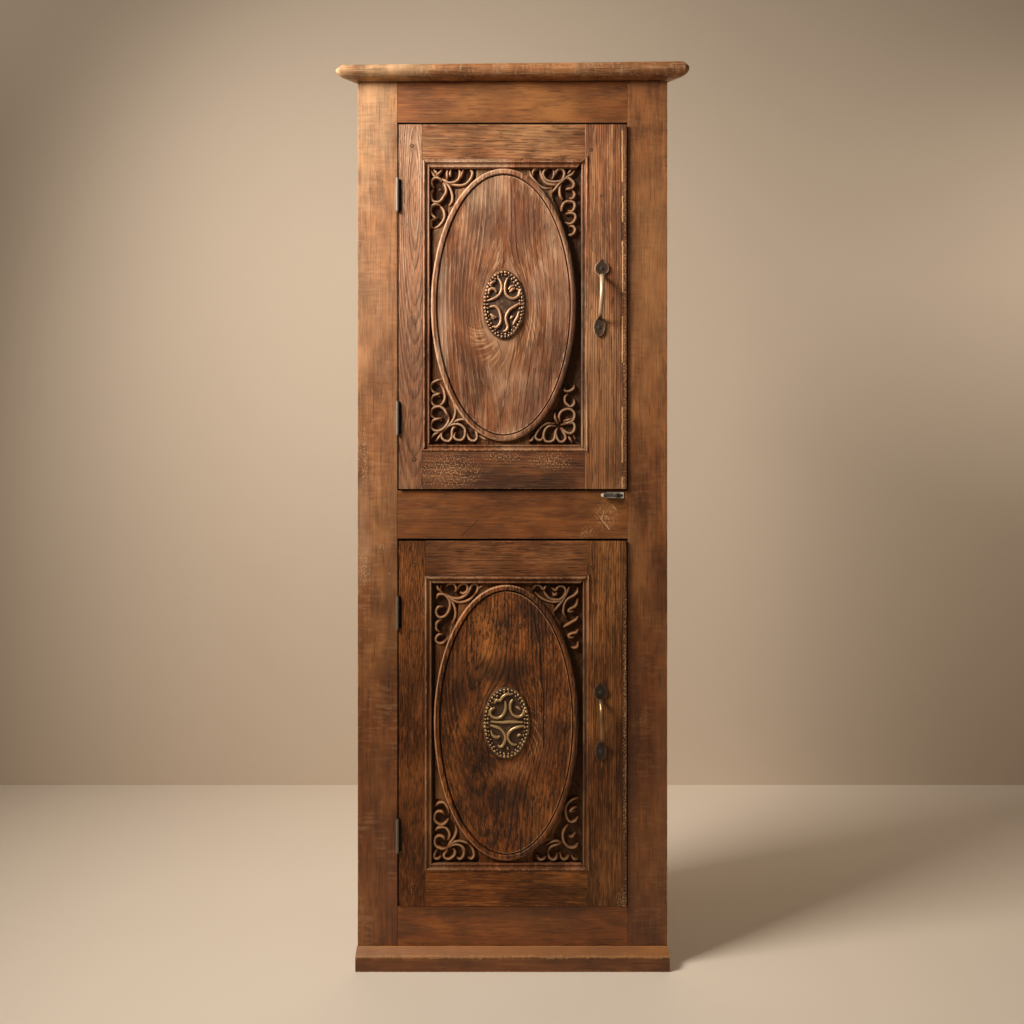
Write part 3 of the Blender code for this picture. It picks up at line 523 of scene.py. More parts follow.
@pattern("scored_line", {"From": "Vector", "To": "Vector", "Width": "Float"})
def scratch_group(tree, given):
    """A line scored from one point to another, ragged and fading at its ends."""
    shake = stir(tree, given["Place"], (90, 90, 90), 3)
    place = vector_calc(tree, "ADD", given["Place"], vector_calc(tree, "MULTIPLY", shake, (0.003, 0.0, 0.003)))
    run = vector_calc(tree, "SUBTRACT", given["To"], given["From"])
    away = vector_calc(tree, "SUBTRACT", place, given["From"])
    square = measure(tree, "DOT_PRODUCT", run, run)
    along = calc(tree, "DIVIDE", measure(tree, "DOT_PRODUCT", away, run), square)
    share = put(tree, "ShaderNodeClamp", {0: along}).outputs[0]
    gap = measure(tree, "DISTANCE", away, scaled(tree, run, share))
    return fade(tree, gap, given["Width"], times(tree, given["Width"], 0.35))


def score(material, start, end, width, colour):
    values = {"From": start, "To": end, "Width": width}
    lay_over(material, mask(material.node_tree, scratch_group, values), colour)


def from_middle(tree, given):
    """How far out a place lies in an oval, 0 in its middle and 1 at its border, seen from the front."""
    away = vector_calc(tree, "SUBTRACT", given["Place"], given["Middle"])
    away = vector_calc(tree, "DIVIDE", away, given["Half Size"])
    return measure(tree, "LENGTH", vector_calc(tree, "MULTIPLY", away, (1, 0, 1)))


oval_inputs = {"Middle": "Vector", "Half Size": "Vector"}


@pattern("crackled_patch", oval_inputs)
def crackle_group(tree, given):
    """Bare flecks, thickest in the middle of a patch and scarcer towards its border."""
    ring = from_middle(tree, given)
    flecks = speckle(tree, given["Place"], (380, 380, 300), 4)
    flecks = calc(tree, "SUBTRACT", flecks, times(tree, ring, 0.10))
    return times(tree, fade(tree, flecks, 0.46, 0.58), fade(tree, ring, 1.0, 0.7))


def crackle(material, middle, half_size, colour, strength):
    values = {"Middle": middle, "Half Size": (half_size[0], 1.0, half_size[1])}
    lay_over(material, mask(material.node_tree, crackle_group, values), colour, strength)


@pattern("soft_stain_and_light", oval_inputs)
def stain_and_light_group(tree, given):
    """A soft patch of colour, for stains and for painted sheen and shade, full in its middle and fading out to
    a ragged border.
    """
    rags = jitter(tree, given["Place"], (45, 45, 22), 5)
    return fade(tree, calc(tree, "MULTIPLY_ADD", rags, 1.6, from_middle(tree, given)), 1.2, 0.2)


def stain_and_light(material, x, z, half_x, half_z, colour, strength):
    values = {"Middle": (x, 0.0, z), "Half Size": (half_x, 1.0, half_z)}
    lay_over(material, mask(material.node_tree, stain_and_light_group, values), colour, strength)


@pattern("saw_marks", {})
def saw_group(tree, given):
    """Ripples across a board, stronger in some places than in others."""
    ripple = fade(tree, speckle(tree, given["Place"], (38, 38, 170), 4), 0.46, 0.68)
    patchy = fade(tree, speckle(tree, given["Place"], (13, 13, 8), 3), 0.36, 0.60)
    return times(tree, ripple, patchy)


def saw_marks(material, shift, colour, strength):
    """Faint marks of the saw, which took the wax unevenly."""
    tree = material.node_tree
    shifted = vector_calc(tree, "ADD", place_on(tree), (shift, shift, shift))
    lay_over(material, mask(tree, saw_group, {"Place": shifted}), colour, strength)


left_timber = bpy.data.materials["face_stile_left_timber"]
right_timber = bpy.data.materials["face_stile_right_timber"]
for stile_timber, bare, worked in (
    (left_timber, stain(222, 172, 122), stain(84, 46, 24)),
    (right_timber, stain(176, 122, 76), stain(66, 35, 17)),
):
    saw_marks(stile_timber, 0.0, bare, 0.16)
    saw_marks(stile_timber, 4.3, worked, 0.34)
# Painted sheen: the two pale patches high on the left stile and the first one on the right stile stand for the
# lamp's light and sheen up there; the other patches are stains.
stain_and_light(left_timber, -0.28, 1.70, 0.06, 0.20, stain(240, 208, 164), 0.13)
stain_and_light(left_timber, -0.28, 1.36, 0.06, 0.24, stain(226, 178, 134), 0.13)
stain_and_light(left_timber, -0.300, 0.86, 0.022, 0.12, stain(226, 178, 134), 0.22)
stain_and_light(left_timber, -0.240, 0.80, 0.018, 0.40, stain(70, 36, 18), 0.30)
stain_and_light(right_timber, 0.28, 1.38, 0.06, 0.28, stain(196, 142, 92), 0.25)
stain_and_light(right_timber, 0.300, 0.42, 0.020, 0.30, stain(150, 100, 64), 0.22)
stain_and_light(right_timber, 0.244, 0.50, 0.020, 0.34, stain(44, 22, 10), 0.30)
# Bare spots on the stiles: place across and up, half width and half height.
bare_spots = (
    (-0.262, 0.845, 0.010, 0.014), (-0.245, 0.785, 0.005, 0.005), (-0.295, 0.80, 0.016, 0.05),
    (-0.250, 0.555, 0.006, 0.005), (-0.298, 1.02, 0.012, 0.07), (0.262, 0.50, 0.012, 0.03),
    (0.290, 0.108, 0.010, 0.012), (0.268, 0.16, 0.006, 0.006),
)
for x, z, half_x, half_z in bare_spots:
    stile_timber, bare = (left_timber, stain(226, 182, 136)) if x < 0 else (right_timber, stain(170, 122, 80))
    crackle(stile_timber, (x, 0.0, z), (half_x, half_z), bare, 0.3)
# A darker band along the top of the bottom rail, just under the lower door.
stain_and_light(rail_timbers["bottom"], -0.06, 0.106, 0.22, 0.012, stain(34, 18, 9), 0.4)
RAIL_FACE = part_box("face_rail_middle")[0].y
bare_scratch = stain(205, 158, 112)
dark_crack = stain(38, 20, 10)
for start, end, width, colour in (
    ((0.183, 0.908), (0.1765, 0.897), 0.0011, bare_scratch),
    ((0.1765, 0.897), (0.194, 0.8745), 0.0012, bare_scratch),
    ((0.200, 0.924), (0.207, 0.914), 0.0011, bare_scratch),
    ((-0.069, 0.894), (-0.103, 0.861), 0.0010, dark_crack),
):
    score(rail_timbers["middle"], (start[0], RAIL_FACE, start[1]), (end[0], RAIL_FACE, end[1]), width, colour)
crackle(rail_timbers["middle"], (0.187, RAIL_FACE, 0.900), (0.030, 0.034), bare_scratch, 0.5)
crackle(rail_timbers["middle"], (0.150, RAIL_FACE, 0.870), (0.024, 0.014), bare_scratch, 0.4)


# Top board: one thick board, its front edge worked to a full half-round nose and its ends cut to the
# line of the walls. It is nailed down on the frame, overhangs it, and is a little thicker at the right.

low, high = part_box("top_board")
middle = (low.z + high.z) / 2
half = (high.z - low.z) / 2
NOSE = 0.014
TIP = 0.007
THICKENING = 0.0037
REAR_BEND = 0.06
NOSE_STEPS = 14
profile = [(high.y, high.z), (REAR_BEND, high.z)]
for k in range(NOSE_STEPS + 1):
    angle = math.pi * (0.5 - k / NOSE_STEPS)
    profile.append((low.y + NOSE * (1 - math.cos(angle)), middle + half * math.sin(angle)))
profile += [(REAR_BEND, low.z), (high.y, low.z)]
top = bmesh.new()
wear_and_highlight = top.verts.layers.float.new("wear_and_highlight")
STATIONS = 90
rings = []
for k in range(STATIONS + 1):
    share = k / STATIONS
    ring = []
    for i, (y, z) in enumerate(profile):
        reach = high.x - (y - low.y) - 0.001
        x = -reach + 2 * reach * share
        tip = max(0.0, TIP - min(x + reach, reach - x)) / TIP
        nosed = 2 <= i <= 2 + NOSE_STEPS
        dent = 0.0006 * noise.noise((14 * x, 30 * z, 2.0))
        dent += 0.0015 * min(0.0, noise.noise((45 * x, 60 * z, 7.0)) + 0.35)
        inset = TIP * (1 - math.sqrt(1 - tip * tip)) - dent if nosed else 0.0
        raised = THICKENING * x / high.x * (1.0 if z > middle else 0.4)
        vert = top.verts.new((x, y + inset, middle + (z - middle) * (1 - 0.25 * tip * tip) + raised))
        vert[wear_and_highlight] = 0.55 + 0.45 * tip if nosed else 0.0
        ring.append(vert)
    rings.append(ring)
skin(top, rings)
top_look = {**face_look, "Bare Edges": 0.3, "Pale": stain(222, 180, 132), "Pores": 0.75}
top_timber = timber("top_timber", top_look, (0, 0, middle), "X", (0.02, 0.12), 0.02, 7, clouds="Z")
fit(make_piece("top_board_nosed", top, top_timber), "carcass", "face_wood", "top_board")


# Plinth: a stout strip of the face frame's timber, nailed across its foot. Its top edge is planed to a
# slope, which feet and brooms have worn wavy, and which is painted paler as painted light from above.

low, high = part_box("plinth_board")
SLOPE = 0.0134
shoulder = high.z - SLOPE


def plinth_outline(x):
    drop = 0.0016 * noise.noise((16 * x, 1.0, 0.0)) + 0.0012 * noise.noise((60 * x, 4.0, 0.0))
    rise = 0.0008 * noise.noise((30 * x, 9.0, 0.0)) - 0.0008
    front = [(high.y, low.z), (low.y, low.z), (low.y, shoulder + drop)]
    return front + [(high.y - 0.002, high.z + rise), (high.y, high.z + rise)]


plinth_look = {**tinted(face_look, 1.1, 1.15, 1.05), "Bare Edges": 0.35, "Fibres": 0.5}
plinth_timber = timber("plinth_timber", plinth_look, (0, low.y, 0.02), "X", (0.02, 0.07), 0.02, 9)
tree = plinth_timber.node_tree
# Painted light: the upward slope is painted paler, as if lit from above.
painted_slope_light = fade(tree, place_on(tree, "Z"), shoulder - 0.001, shoulder + 0.002, 0.0, 0.38)
lay_over(plinth_timber, painted_slope_light, stain(192, 128, 74))
plinth = worn_board(
    "plinth_worn", plinth_timber, plinth_outline, (low.x, high.x), "X",
    ease=(0.0005, 0.0012, 0.0022, 0.0008, 0.0005), chip=(0.0, 0.002, 0.003, 0.001, 0.0), seed=41,
)
fit(plinth, "carcass", "face_wood", "plinth_board")


# Door frames: two stiles and two rails a door, mortised and pegged, in an older and greyer timber than
# the face frame. Their open grain was never filled, and the free edge is rubbed bare and splintered.

weathered = {
    "Ring Spacing": 0.0044, "Rings": 0.6, "Fibres": 0.9, "Pores": 0.9, "Blotches": 0.5,
    "Bare Edges": 0.35, "Wander": 0.03, "Curl": 0.0022, "Bump": 0.0008,
}
door_looks = {
    "upper_door": {
        **weathered, "Pale": stain(214, 160, 112), "Tone": stain(164, 102, 62), "Deep": stain(76, 40, 20),
        "Foot Grime And Painted Shade": 0.75, "Shade From": 1.45, "Shade To": 1.0, "Base Roughness": 0.56, "Wax": 0.1,
    },
    "lower_door": {
        **weathered, "Pale": stain(184, 122, 72), "Tone": stain(128, 73, 37), "Deep": stain(54, 27, 11),
        "Foot Grime And Painted Shade": 0.27, "Shade From": 0.75, "Shade To": 0.3, "Base Roughness": 0.54, "Wax": 0.05,
        "Gloss": 0.3,
    },
}


@pattern("ragged_band", {"From Edge": "Float", "Width": "Float", "Raggedness": "Float"})
def band_group(tree, given):
    """A band along an edge, as wide as given, with a ragged border."""
    rags = jitter(tree, given["Place"], (60, 60, 26), 4)
    edge = calc(tree, "MULTIPLY_ADD", rags, given["Raggedness"], given["From Edge"])
    return fade(tree, edge, calc(tree, "ADD", given["Width"], 0.0007), given["Width"])


def edge_band(material, edge_x, width, raggedness, colour, strength):
    """Colour a strip along the right-hand edge of a board."""
    tree = material.node_tree
    from_edge = calc(tree, "SUBTRACT", edge_x, place_on(tree, "X"))
    values = {"From Edge": from_edge, "Width": width, "Raggedness": raggedness}
    lay_over(material, mask(tree, band_group, values), colour, strength)


@pattern("open_pores", {})
def pore_group(tree, given):
    """Short open pores along the Z of a place, closer together in some places than in others."""
    dashes = fade(tree, speckle(tree, given["Place"], (330, 330, 44), 2), 0.50, 0.60)
    return times(tree, dashes, fade(tree, speckle(tree, given["Place"], (22, 22, 8), 3), 0.34, 0.58, 0.35, 1.0))


def grain_of(material):
    """The node that lays the grain of a finish along its board."""
    return next(node for node in material.node_tree.nodes if node.type == "MAPPING")


def open_pores(material, colour, strength):
    pores = mask(material.node_tree, pore_group, {"Place": grain_of(material).outputs[0]})
    lay_over(material, pores, colour, strength)


old_pores = stain(28, 14, 7)
board_tints = {
    "upper_door": {
        "hinge": (1.15, 1.38, 1.82), "lock": (1.0, 0.96, 0.91),
        "top_rail": (0.88, 0.86, 0.78), "bottom_rail": (0.72, 0.69, 0.65),
    },
    "lower_door": {
        "hinge": (0.68, 0.56, 0.40), "lock": (0.80, 0.78, 0.68),
        "top_rail": (0.80, 0.80, 0.86), "bottom_rail": (1.2, 1.10, 0.74),
    },
}
HINGE_NOTCH = 0.006
NOTCH_DEPTH = 0.004
HINGE_PLAY = 0.0005
HINGE_GAP = 0.0012
CLEARANCE = 0.0003
hinge_zones = {door: [] for door in door_looks}
for door in door_looks:
    for place in ("lower", "upper"):
        low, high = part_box(f"{door}_{place}_hinge_door_leaf")
        hinge_zones[door].append((low.z - HINGE_PLAY, high.z + HINGE_PLAY))

for order, (door, look) in enumerate(door_looks.items()):
    hinge_low, hinge_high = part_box(f"{door}_hinge_stile")
    lock_low, lock_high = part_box(f"{door}_lock_stile")
    hinge_left = hinge_low.x + HINGE_GAP
    raised = 0.0018 if door == "lower_door" else 0.0

    def hinge_outline(z, zones=hinge_zones[door], box=(hinge_low, hinge_high), left=hinge_left):
        cut = 1.0 if any(bottom < z < top for bottom, top in zones) else 0.02
        wide, deep = HINGE_NOTCH * cut, NOTCH_DEPTH * cut
        front, back = box[0].y, box[1].y
        notch = [(left, front + deep), (left + wide, front + deep), (left + wide, front)]
        return notch + [(box[1].x, front), (box[1].x, back), (left, back)]

    hinge_look = {**tinted(look, *board_tints[door]["hinge"]), "Rings": 0.65, "Ring Spacing": 0.0036}
    quiet = {"Fibres": 0.5, "Pores": 0.6, "Blotches": 0.3}
    hinge_look.update(quiet if door == "upper_door" else {"Fibres": 1.0})
    stile_timber = timber(
        f"{door}_hinge_stile_timber", hinge_look, (-0.205, -0.12, (hinge_low.z + hinge_high.z) / 2 + 0.10),
        pith=(-0.008, 0.010), tilt=0.10, seed=order,
    )
    tree = stile_timber.node_tree
    depth = place_on(tree, "Y")
    if door == "lower_door":
        open_pores(stile_timber, old_pores, 0.5)
    # Painted shade: the faces set back in the hinge notches are painted near black.
    painted_notch_shade = fade(tree, depth, hinge_low.y + 0.0008, hinge_low.y + 0.0025)
    painted_notch_shade = times(tree, painted_notch_shade, fade(tree, depth, hinge_low.y + 0.009, hinge_low.y + 0.006))
    lay_over(stile_timber, painted_notch_shade, stain(24, 13, 7))
    stile = worn_board(
        f"{door}_hinge_stile_worn", stile_timber, hinge_outline, (hinge_low.z, hinge_high.z + raised),
        ease=0.0006, chip=0.0015, seed=50 + order, pitch=0.004,
    )
    fit(stile, door, "door_wood", f"{door}_hinge_stile")

    face_y, back_y = lock_low.y, lock_high.y
    corners = [(lock_low.x, face_y), (lock_high.x, face_y), (lock_high.x, back_y), (lock_low.x, back_y)]
    middle_z = (lock_low.z + lock_high.z) / 2
    stile_timber = timber(
        f"{door}_lock_stile_timber", tinted(look, *board_tints[door]["lock"]), (0.19, -0.12, middle_z),
        pith=(0.13, 0.05), tilt=0.01, seed=order + 2,
    )
    if door == "lower_door":
        open_pores(stile_timber, old_pores, 0.5)
    edge_band(stile_timber, lock_high.x, 0.012, 0.014, look["Deep"], 0.45)
    splinters = look["Pale"] if door == "upper_door" else stain(206, 166, 128)
    crackle(stile_timber, (lock_high.x - 0.002, face_y, middle_z), (0.007, 0.42), splinters, 0.8)
    crackle(stile_timber, (lock_high.x - 0.004, face_y, lock_low.z), (0.022, 0.05), splinters, 0.5)
    worn_x = lock_high.x - 0.0085
    lines = [(0.1605, 0.24, 0.1590, 0.11, 0.0012, "Deep"), (0.2085, 0.05, 0.2075, -0.28, 0.0010, "Deep")]
    if door == "upper_door":
        rubbed = ((0.35, 0.25), (0.22, 0.17), (0.13, 0.03), (-0.02, -0.11), (-0.20, -0.31), (-0.34, -0.365))
        lines = [(worn_x, first, worn_x, last, 0.0019, "Pale") for first, last in rubbed] + lines
    for x, first, end_x, last, width, tone in lines:
        score(stile_timber, (x, face_y, middle_z + first), (end_x, face_y, middle_z + last), width, look[tone])
    stile = worn_board(
        f"{door}_lock_stile_worn", stile_timber, corners, (lock_low.z, lock_high.z + raised),
        ease=(0.0005, 0.0012, 0.0012, 0.0005), chip=(0.001, 0.0032, 0.002, 0.0), seed=60 + order, pitch=0.003,
    )
    fit(stile, door, "door_wood", f"{door}_lock_stile")

    for part in ("bottom_rail", "top_rail"):
        low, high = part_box(f"{door}_{part}")
        top = high.z + (raised if part == "top_rail" else 0.0)
        corners = [(low.y, low.z), (low.y, top), (high.y, top), (high.y, low.z)]
        rail_look = {**tinted(look, *board_tints[door][part]), "Rings": 0.35, "Fibres": 0.6, "Blotches": 0.65}
        seed = order + len(part)
        rail_timber = timber(
            f"{door}_{part}_timber", rail_look, (0, -0.12, (low.z + high.z) / 2), "X", (0.06, 0.05), 0.03, seed
        )
        if door == "lower_door":
            open_pores(rail_timber, old_pores, 0.4)
        if (door, part) == ("upper_door", "bottom_rail"):
            rubbed = ((-0.125, 0.992, 0.075, 0.045), (0.075, 1.012, 0.055, 0.024), (-0.02, 1.02, 0.05, 0.012))
            for x, z, half_x, half_z in rubbed:
                crackle(rail_timber, (x, low.y, z), (half_x, half_z), look["Pale"], 0.55)
        rail = worn_board(
            f"{door}_{part}_worn", rail_timber, corners,
            (hinge_high.x + CLEARANCE, lock_low.x - CLEARANCE), "X",
            ease=0.0007, chip=0.002, seed=70 + seed, pitch=0.005,
        )
        fit(rail, door, "door_wood", f"{door}_{part}")


# Panel moulding: four mitred sticks of each door's timber, run with two rounded ridges and a quirk between
# them, and nailed on the panel inside the frame. Dirt lies in the quirk and the ridges are rubbed pale.

# Millimetres inwards from the outer ridge, and forwards from the ground.
STICK_PROFILE = (
    (-3.2, 12.8), (-2.7, 13.1), (-1.7, 14.1), (-0.8, 14.9), (0.4, 15.0), (1.3, 14.3), (2.2, 12.5),
    (3.0, 10.9), (4.6, 10.3), (6.4, 10.5), (7.4, 11.0), (8.2, 11.6), (9.2, 12.0), (10.0, 11.6), (10.6, 10.4),
    (11.2, 6.0), (11.6, 0.0),
)
INNER_RIDGE = 9.2
STICK_STEP = 0.006
STICK_REACH = 0.016
FLAT_LEVEL = 11.6
PAINTED_SHADE_REACH = 0.17
# Millimetres from the frame in to the outer ridge: left, right, bottom and top stick.
stick_shifts = {"upper_door": (4.0, -4.0, 0.2, 6.0), "lower_door": (1.9, -2.2, 1.6, 4.7)}
ground_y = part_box("upper_door_oval_field")[1].y + CLEARANCE
sight = {}
for order, (door, look) in enumerate(door_looks.items()):
    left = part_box(f"{door}_hinge_stile")[1].x
    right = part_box(f"{door}_lock_stile")[0].x
    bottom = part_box(f"{door}_moulding_bottom")[0].z - CLEARANCE
    top_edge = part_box(f"{door}_moulding_top")[1].z + CLEARANCE
    sight[door] = (left + STICK_REACH, right - STICK_REACH, bottom + STICK_REACH, top_edge - STICK_REACH)
    sticks = bmesh.new()
    wear_and_highlight = sticks.verts.layers.float.new("wear_and_highlight")
    dirt_and_shade = sticks.verts.layers.float.new("dirt_and_shade")
    for turn, (length, start, axis, across) in enumerate((
        (top_edge - bottom, (left, bottom), (0, 1), (1, 0)),
        (top_edge - bottom, (right, bottom), (0, 1), (-1, 0)),
        (right - left, (left, bottom), (1, 0), (0, 1)),
        (right - left, (left, top_edge), (1, 0), (0, -1)),
    )):
        count = round(length / STICK_STEP)
        shift = stick_shifts[door][turn]
        # Painted shade: the right-hand stick is painted darker and less rubbed, and run flatter, more so
        # towards its middle than at its ends.
        painted_shade_side = across == (-1, 0)
        rings = []
        for k in range(count + 1):
            ring = []
            for across_ridge, rise in ((0.3 - shift, 0.0), (0.25 - shift, 12.3)) + STICK_PROFILE:
                inward = across_ridge + shift
                mitre = inward / 1000 + CLEARANCE
                along = mitre + (length - 2 * mitre) * k / count
                shake = noise.noise((55 * along, 9.0 * order + 3.0 * turn, inward / 4))
                from_end = max(0.0, min(along, length - along))
                painted_shade = min(1.0, from_end / PAINTED_SHADE_REACH) ** 1.5 if painted_shade_side else 0.0
                if rise > 9:
                    rise = FLAT_LEVEL + (1 - 0.6 * painted_shade) * (rise - FLAT_LEVEL)
                lift = (rise + 0.3 * shake * (rise > 8)) / 1000
                x = start[0] + axis[0] * along + across[0] * inward / 1000
                z = start[1] + axis[1] * along + across[1] * inward / 1000
                vert = sticks.verts.new((x, ground_y - lift, z))
                rubbed = max(0.0, 1 - abs(across_ridge) / 1.5, 0.5 - abs(across_ridge - INNER_RIDGE) / 3.0)
                grime_and_shade = max(0.0, 0.9 - abs(across_ridge + 3.1) / 0.7, 0.7 - abs(across_ridge - 5.4) / 2.6)
                grime_and_shade = max(grime_and_shade, 0.25 - abs(across_ridge - INNER_RIDGE) / 6.0, (across_ridge - 10.6) / 1.2)
                vert[wear_and_highlight] = rubbed * (1 - 0.7 * painted_shade)
                vert[dirt_and_shade] = min(1.0, 0.48 * painted_shade + (1 - 0.6 * painted_shade) * grime_and_shade)
                ring.append(vert)
            rings.append(ring)
        skin(sticks, rings)
    stick_look = {**look, "Bare Edges": 0.6, "Rings": 0.2, "Fibres": 0.4, "Bump": 0.0002, "Gloss": 0.3}
    stick_look["Pale"] = stain(232, 196, 162) if door == "upper_door" else stain(200, 152, 110)
    stick_centre = (0, -0.12, 0.5 + order * 0.83)
    stick_timber = timber(f"{door}_moulding_timber", stick_look, stick_centre, pith=(0.2, 0.1), seed=order)
    moulding = make_piece(f"{door}_moulding_run", sticks, stick_timber)
    stick_nodes = [f"{door}_moulding_{part}" for part in ("left", "right", "bottom", "top")]
    fit(moulding, door, "door_wood", *stick_nodes)


# Carved panels: one board a door, cut away to a dark gouged ground, with scroll work left standing in
# the four corners. Each strand is a narrow ridge, pale where hands and cloths have rubbed it.

@pattern("hollow_depth", {"Low": "Float", "High": "Float"})
def hollow_group(tree, given):
    """How deep a place lies between a low and a high level, measured from front to back."""
    depth = split(tree, given["Place"])["Y"]
    crumbs = jitter(tree, given["Place"], (220, 220, 220), 3)
    return fade(tree, calc(tree, "MULTIPLY_ADD", crumbs, 0.0022, depth), given["High"], given["Low"])


def hollow_mask(tree, low, high):
    return mask(tree, hollow_group, {"Low": low, "High": high})


def darken_hollows(material, low, high, colour):
    """Darken the hollows of the carving, the deeper the darker, but not the back of the board."""
    tree = material.node_tree
    carved = fade(tree, place_on(tree, "Y"), low + 0.009, low + 0.006)
    lay_over(material, times(tree, hollow_mask(tree, low, high), carved), colour)


def rub_crests(material, low, high, colour, strength):
    tree = material.node_tree
    lay_over(material, calc(tree, "SUBTRACT", 1.0, hollow_mask(tree, low, high)), colour, strength)


def step(tree, kind, inputs, **settings):
    """Add one step to a geometry tree and give its result."""
    return put(tree, "GeometryNode" + kind, inputs, **settings).outputs[0]


def named(tree, name, kind="FLOAT"):
    return step(tree, "InputNamedAttribute", {"Name": name}, data_type=kind)


def close_steps(tree, out, made, finish, smooth=True):
    """End a geometry tree with one plain mesh in its finish."""
    made = step(tree, "RealizeInstances", {"Geometry": made})
    if smooth:
        made = step(tree, "SetShadeSmooth", {"Geometry": made})
    tree.links.new(step(tree, "SetMaterial", {"Geometry": made, "Material": finish}), out[0])


def build_strand_tree():
    """Sweep an upright ridge along each line of a drawing that lies in the plane of the door."""
    inputs = {
        "Drawing": "Geometry", "Strand Width": "Float", "Strand Height": "Float", "Step": "Float",
        "Finish": "Material",
    }
    tree, given, out = new_group("carved_strands", inputs, {"Strands": "Geometry"}, "GeometryNodeTree")
    curve = step(tree, "MeshToCurve", {"Mesh": given["Drawing"]})
    curve = step(tree, "CurveSplineType", {"Curve": curve}, spline_type="CATMULL_ROM")
    curve = step(tree, "ResampleCurve", {"Curve": curve, "Length": given["Step"]}, mode="LENGTH")
    curve = step(tree, "SetCurveNormal", {"Curve": curve, "Normal": (0, -1, 0)}, mode="FREE")
    ring = step(tree, "CurvePrimitiveCircle", {"Resolution": 10, "Radius": 1.0})
    size = join(tree, given["Strand Height"], times(tree, given["Strand Width"], 0.5), 1.0)
    ridge = step(tree, "Transform", {"Geometry": ring, "Scale": size})
    parts = {"Curve": curve, "Profile Curve": ridge, "Scale": named(tree, "girth"), "Fill Caps": True}
    close_steps(tree, out, step(tree, "CurveToMesh", parts), given["Finish"])
    return tree


strand_tree = build_strand_tree()


def grow(name, start, tree, values):
    """Run a geometry tree on a starting mesh and keep its result as a plain mesh."""
    piece = add_object(name, start)
    steps = piece.modifiers.new("steps", "NODES")
    steps.node_group = tree
    for item in tree.interface.items_tree:
        if item.in_out == "INPUT" and item.name in values:
            steps[item.identifier] = values[item.name]
    made = piece.evaluated_get(bpy.context.evaluated_depsgraph_get())
    mesh = bpy.data.meshes.new_from_object(made)
    piece.modifiers.clear()
    piece.data = mesh
    bm = bmesh.new()
    bm.from_mesh(mesh)
    bmesh.ops.recalc_face_normals(bm, faces=bm.faces)
    bm.to_mesh(mesh)
    bm.free()
    mesh.name = name
    return piece


def drawing(name, strands):
    """A mesh of open lines. Each line is a list of points, and thins out at its two ends."""
    points, edges, girths = [], [], []
    for strand in strands:
        first = len(points)
        points += strand
        edges += [(first + i, first + i + 1) for i in range(len(strand) - 1)]
        girths += [0.7] + [1.0] * (len(strand) - 2) + [0.7]
    mesh = bpy.data.meshes.new(name)
    mesh.from_pydata(points, edges, [])
    mesh.attributes.new("girth", "FLOAT", "POINT").data.foreach_set("value", girths)
    return mesh


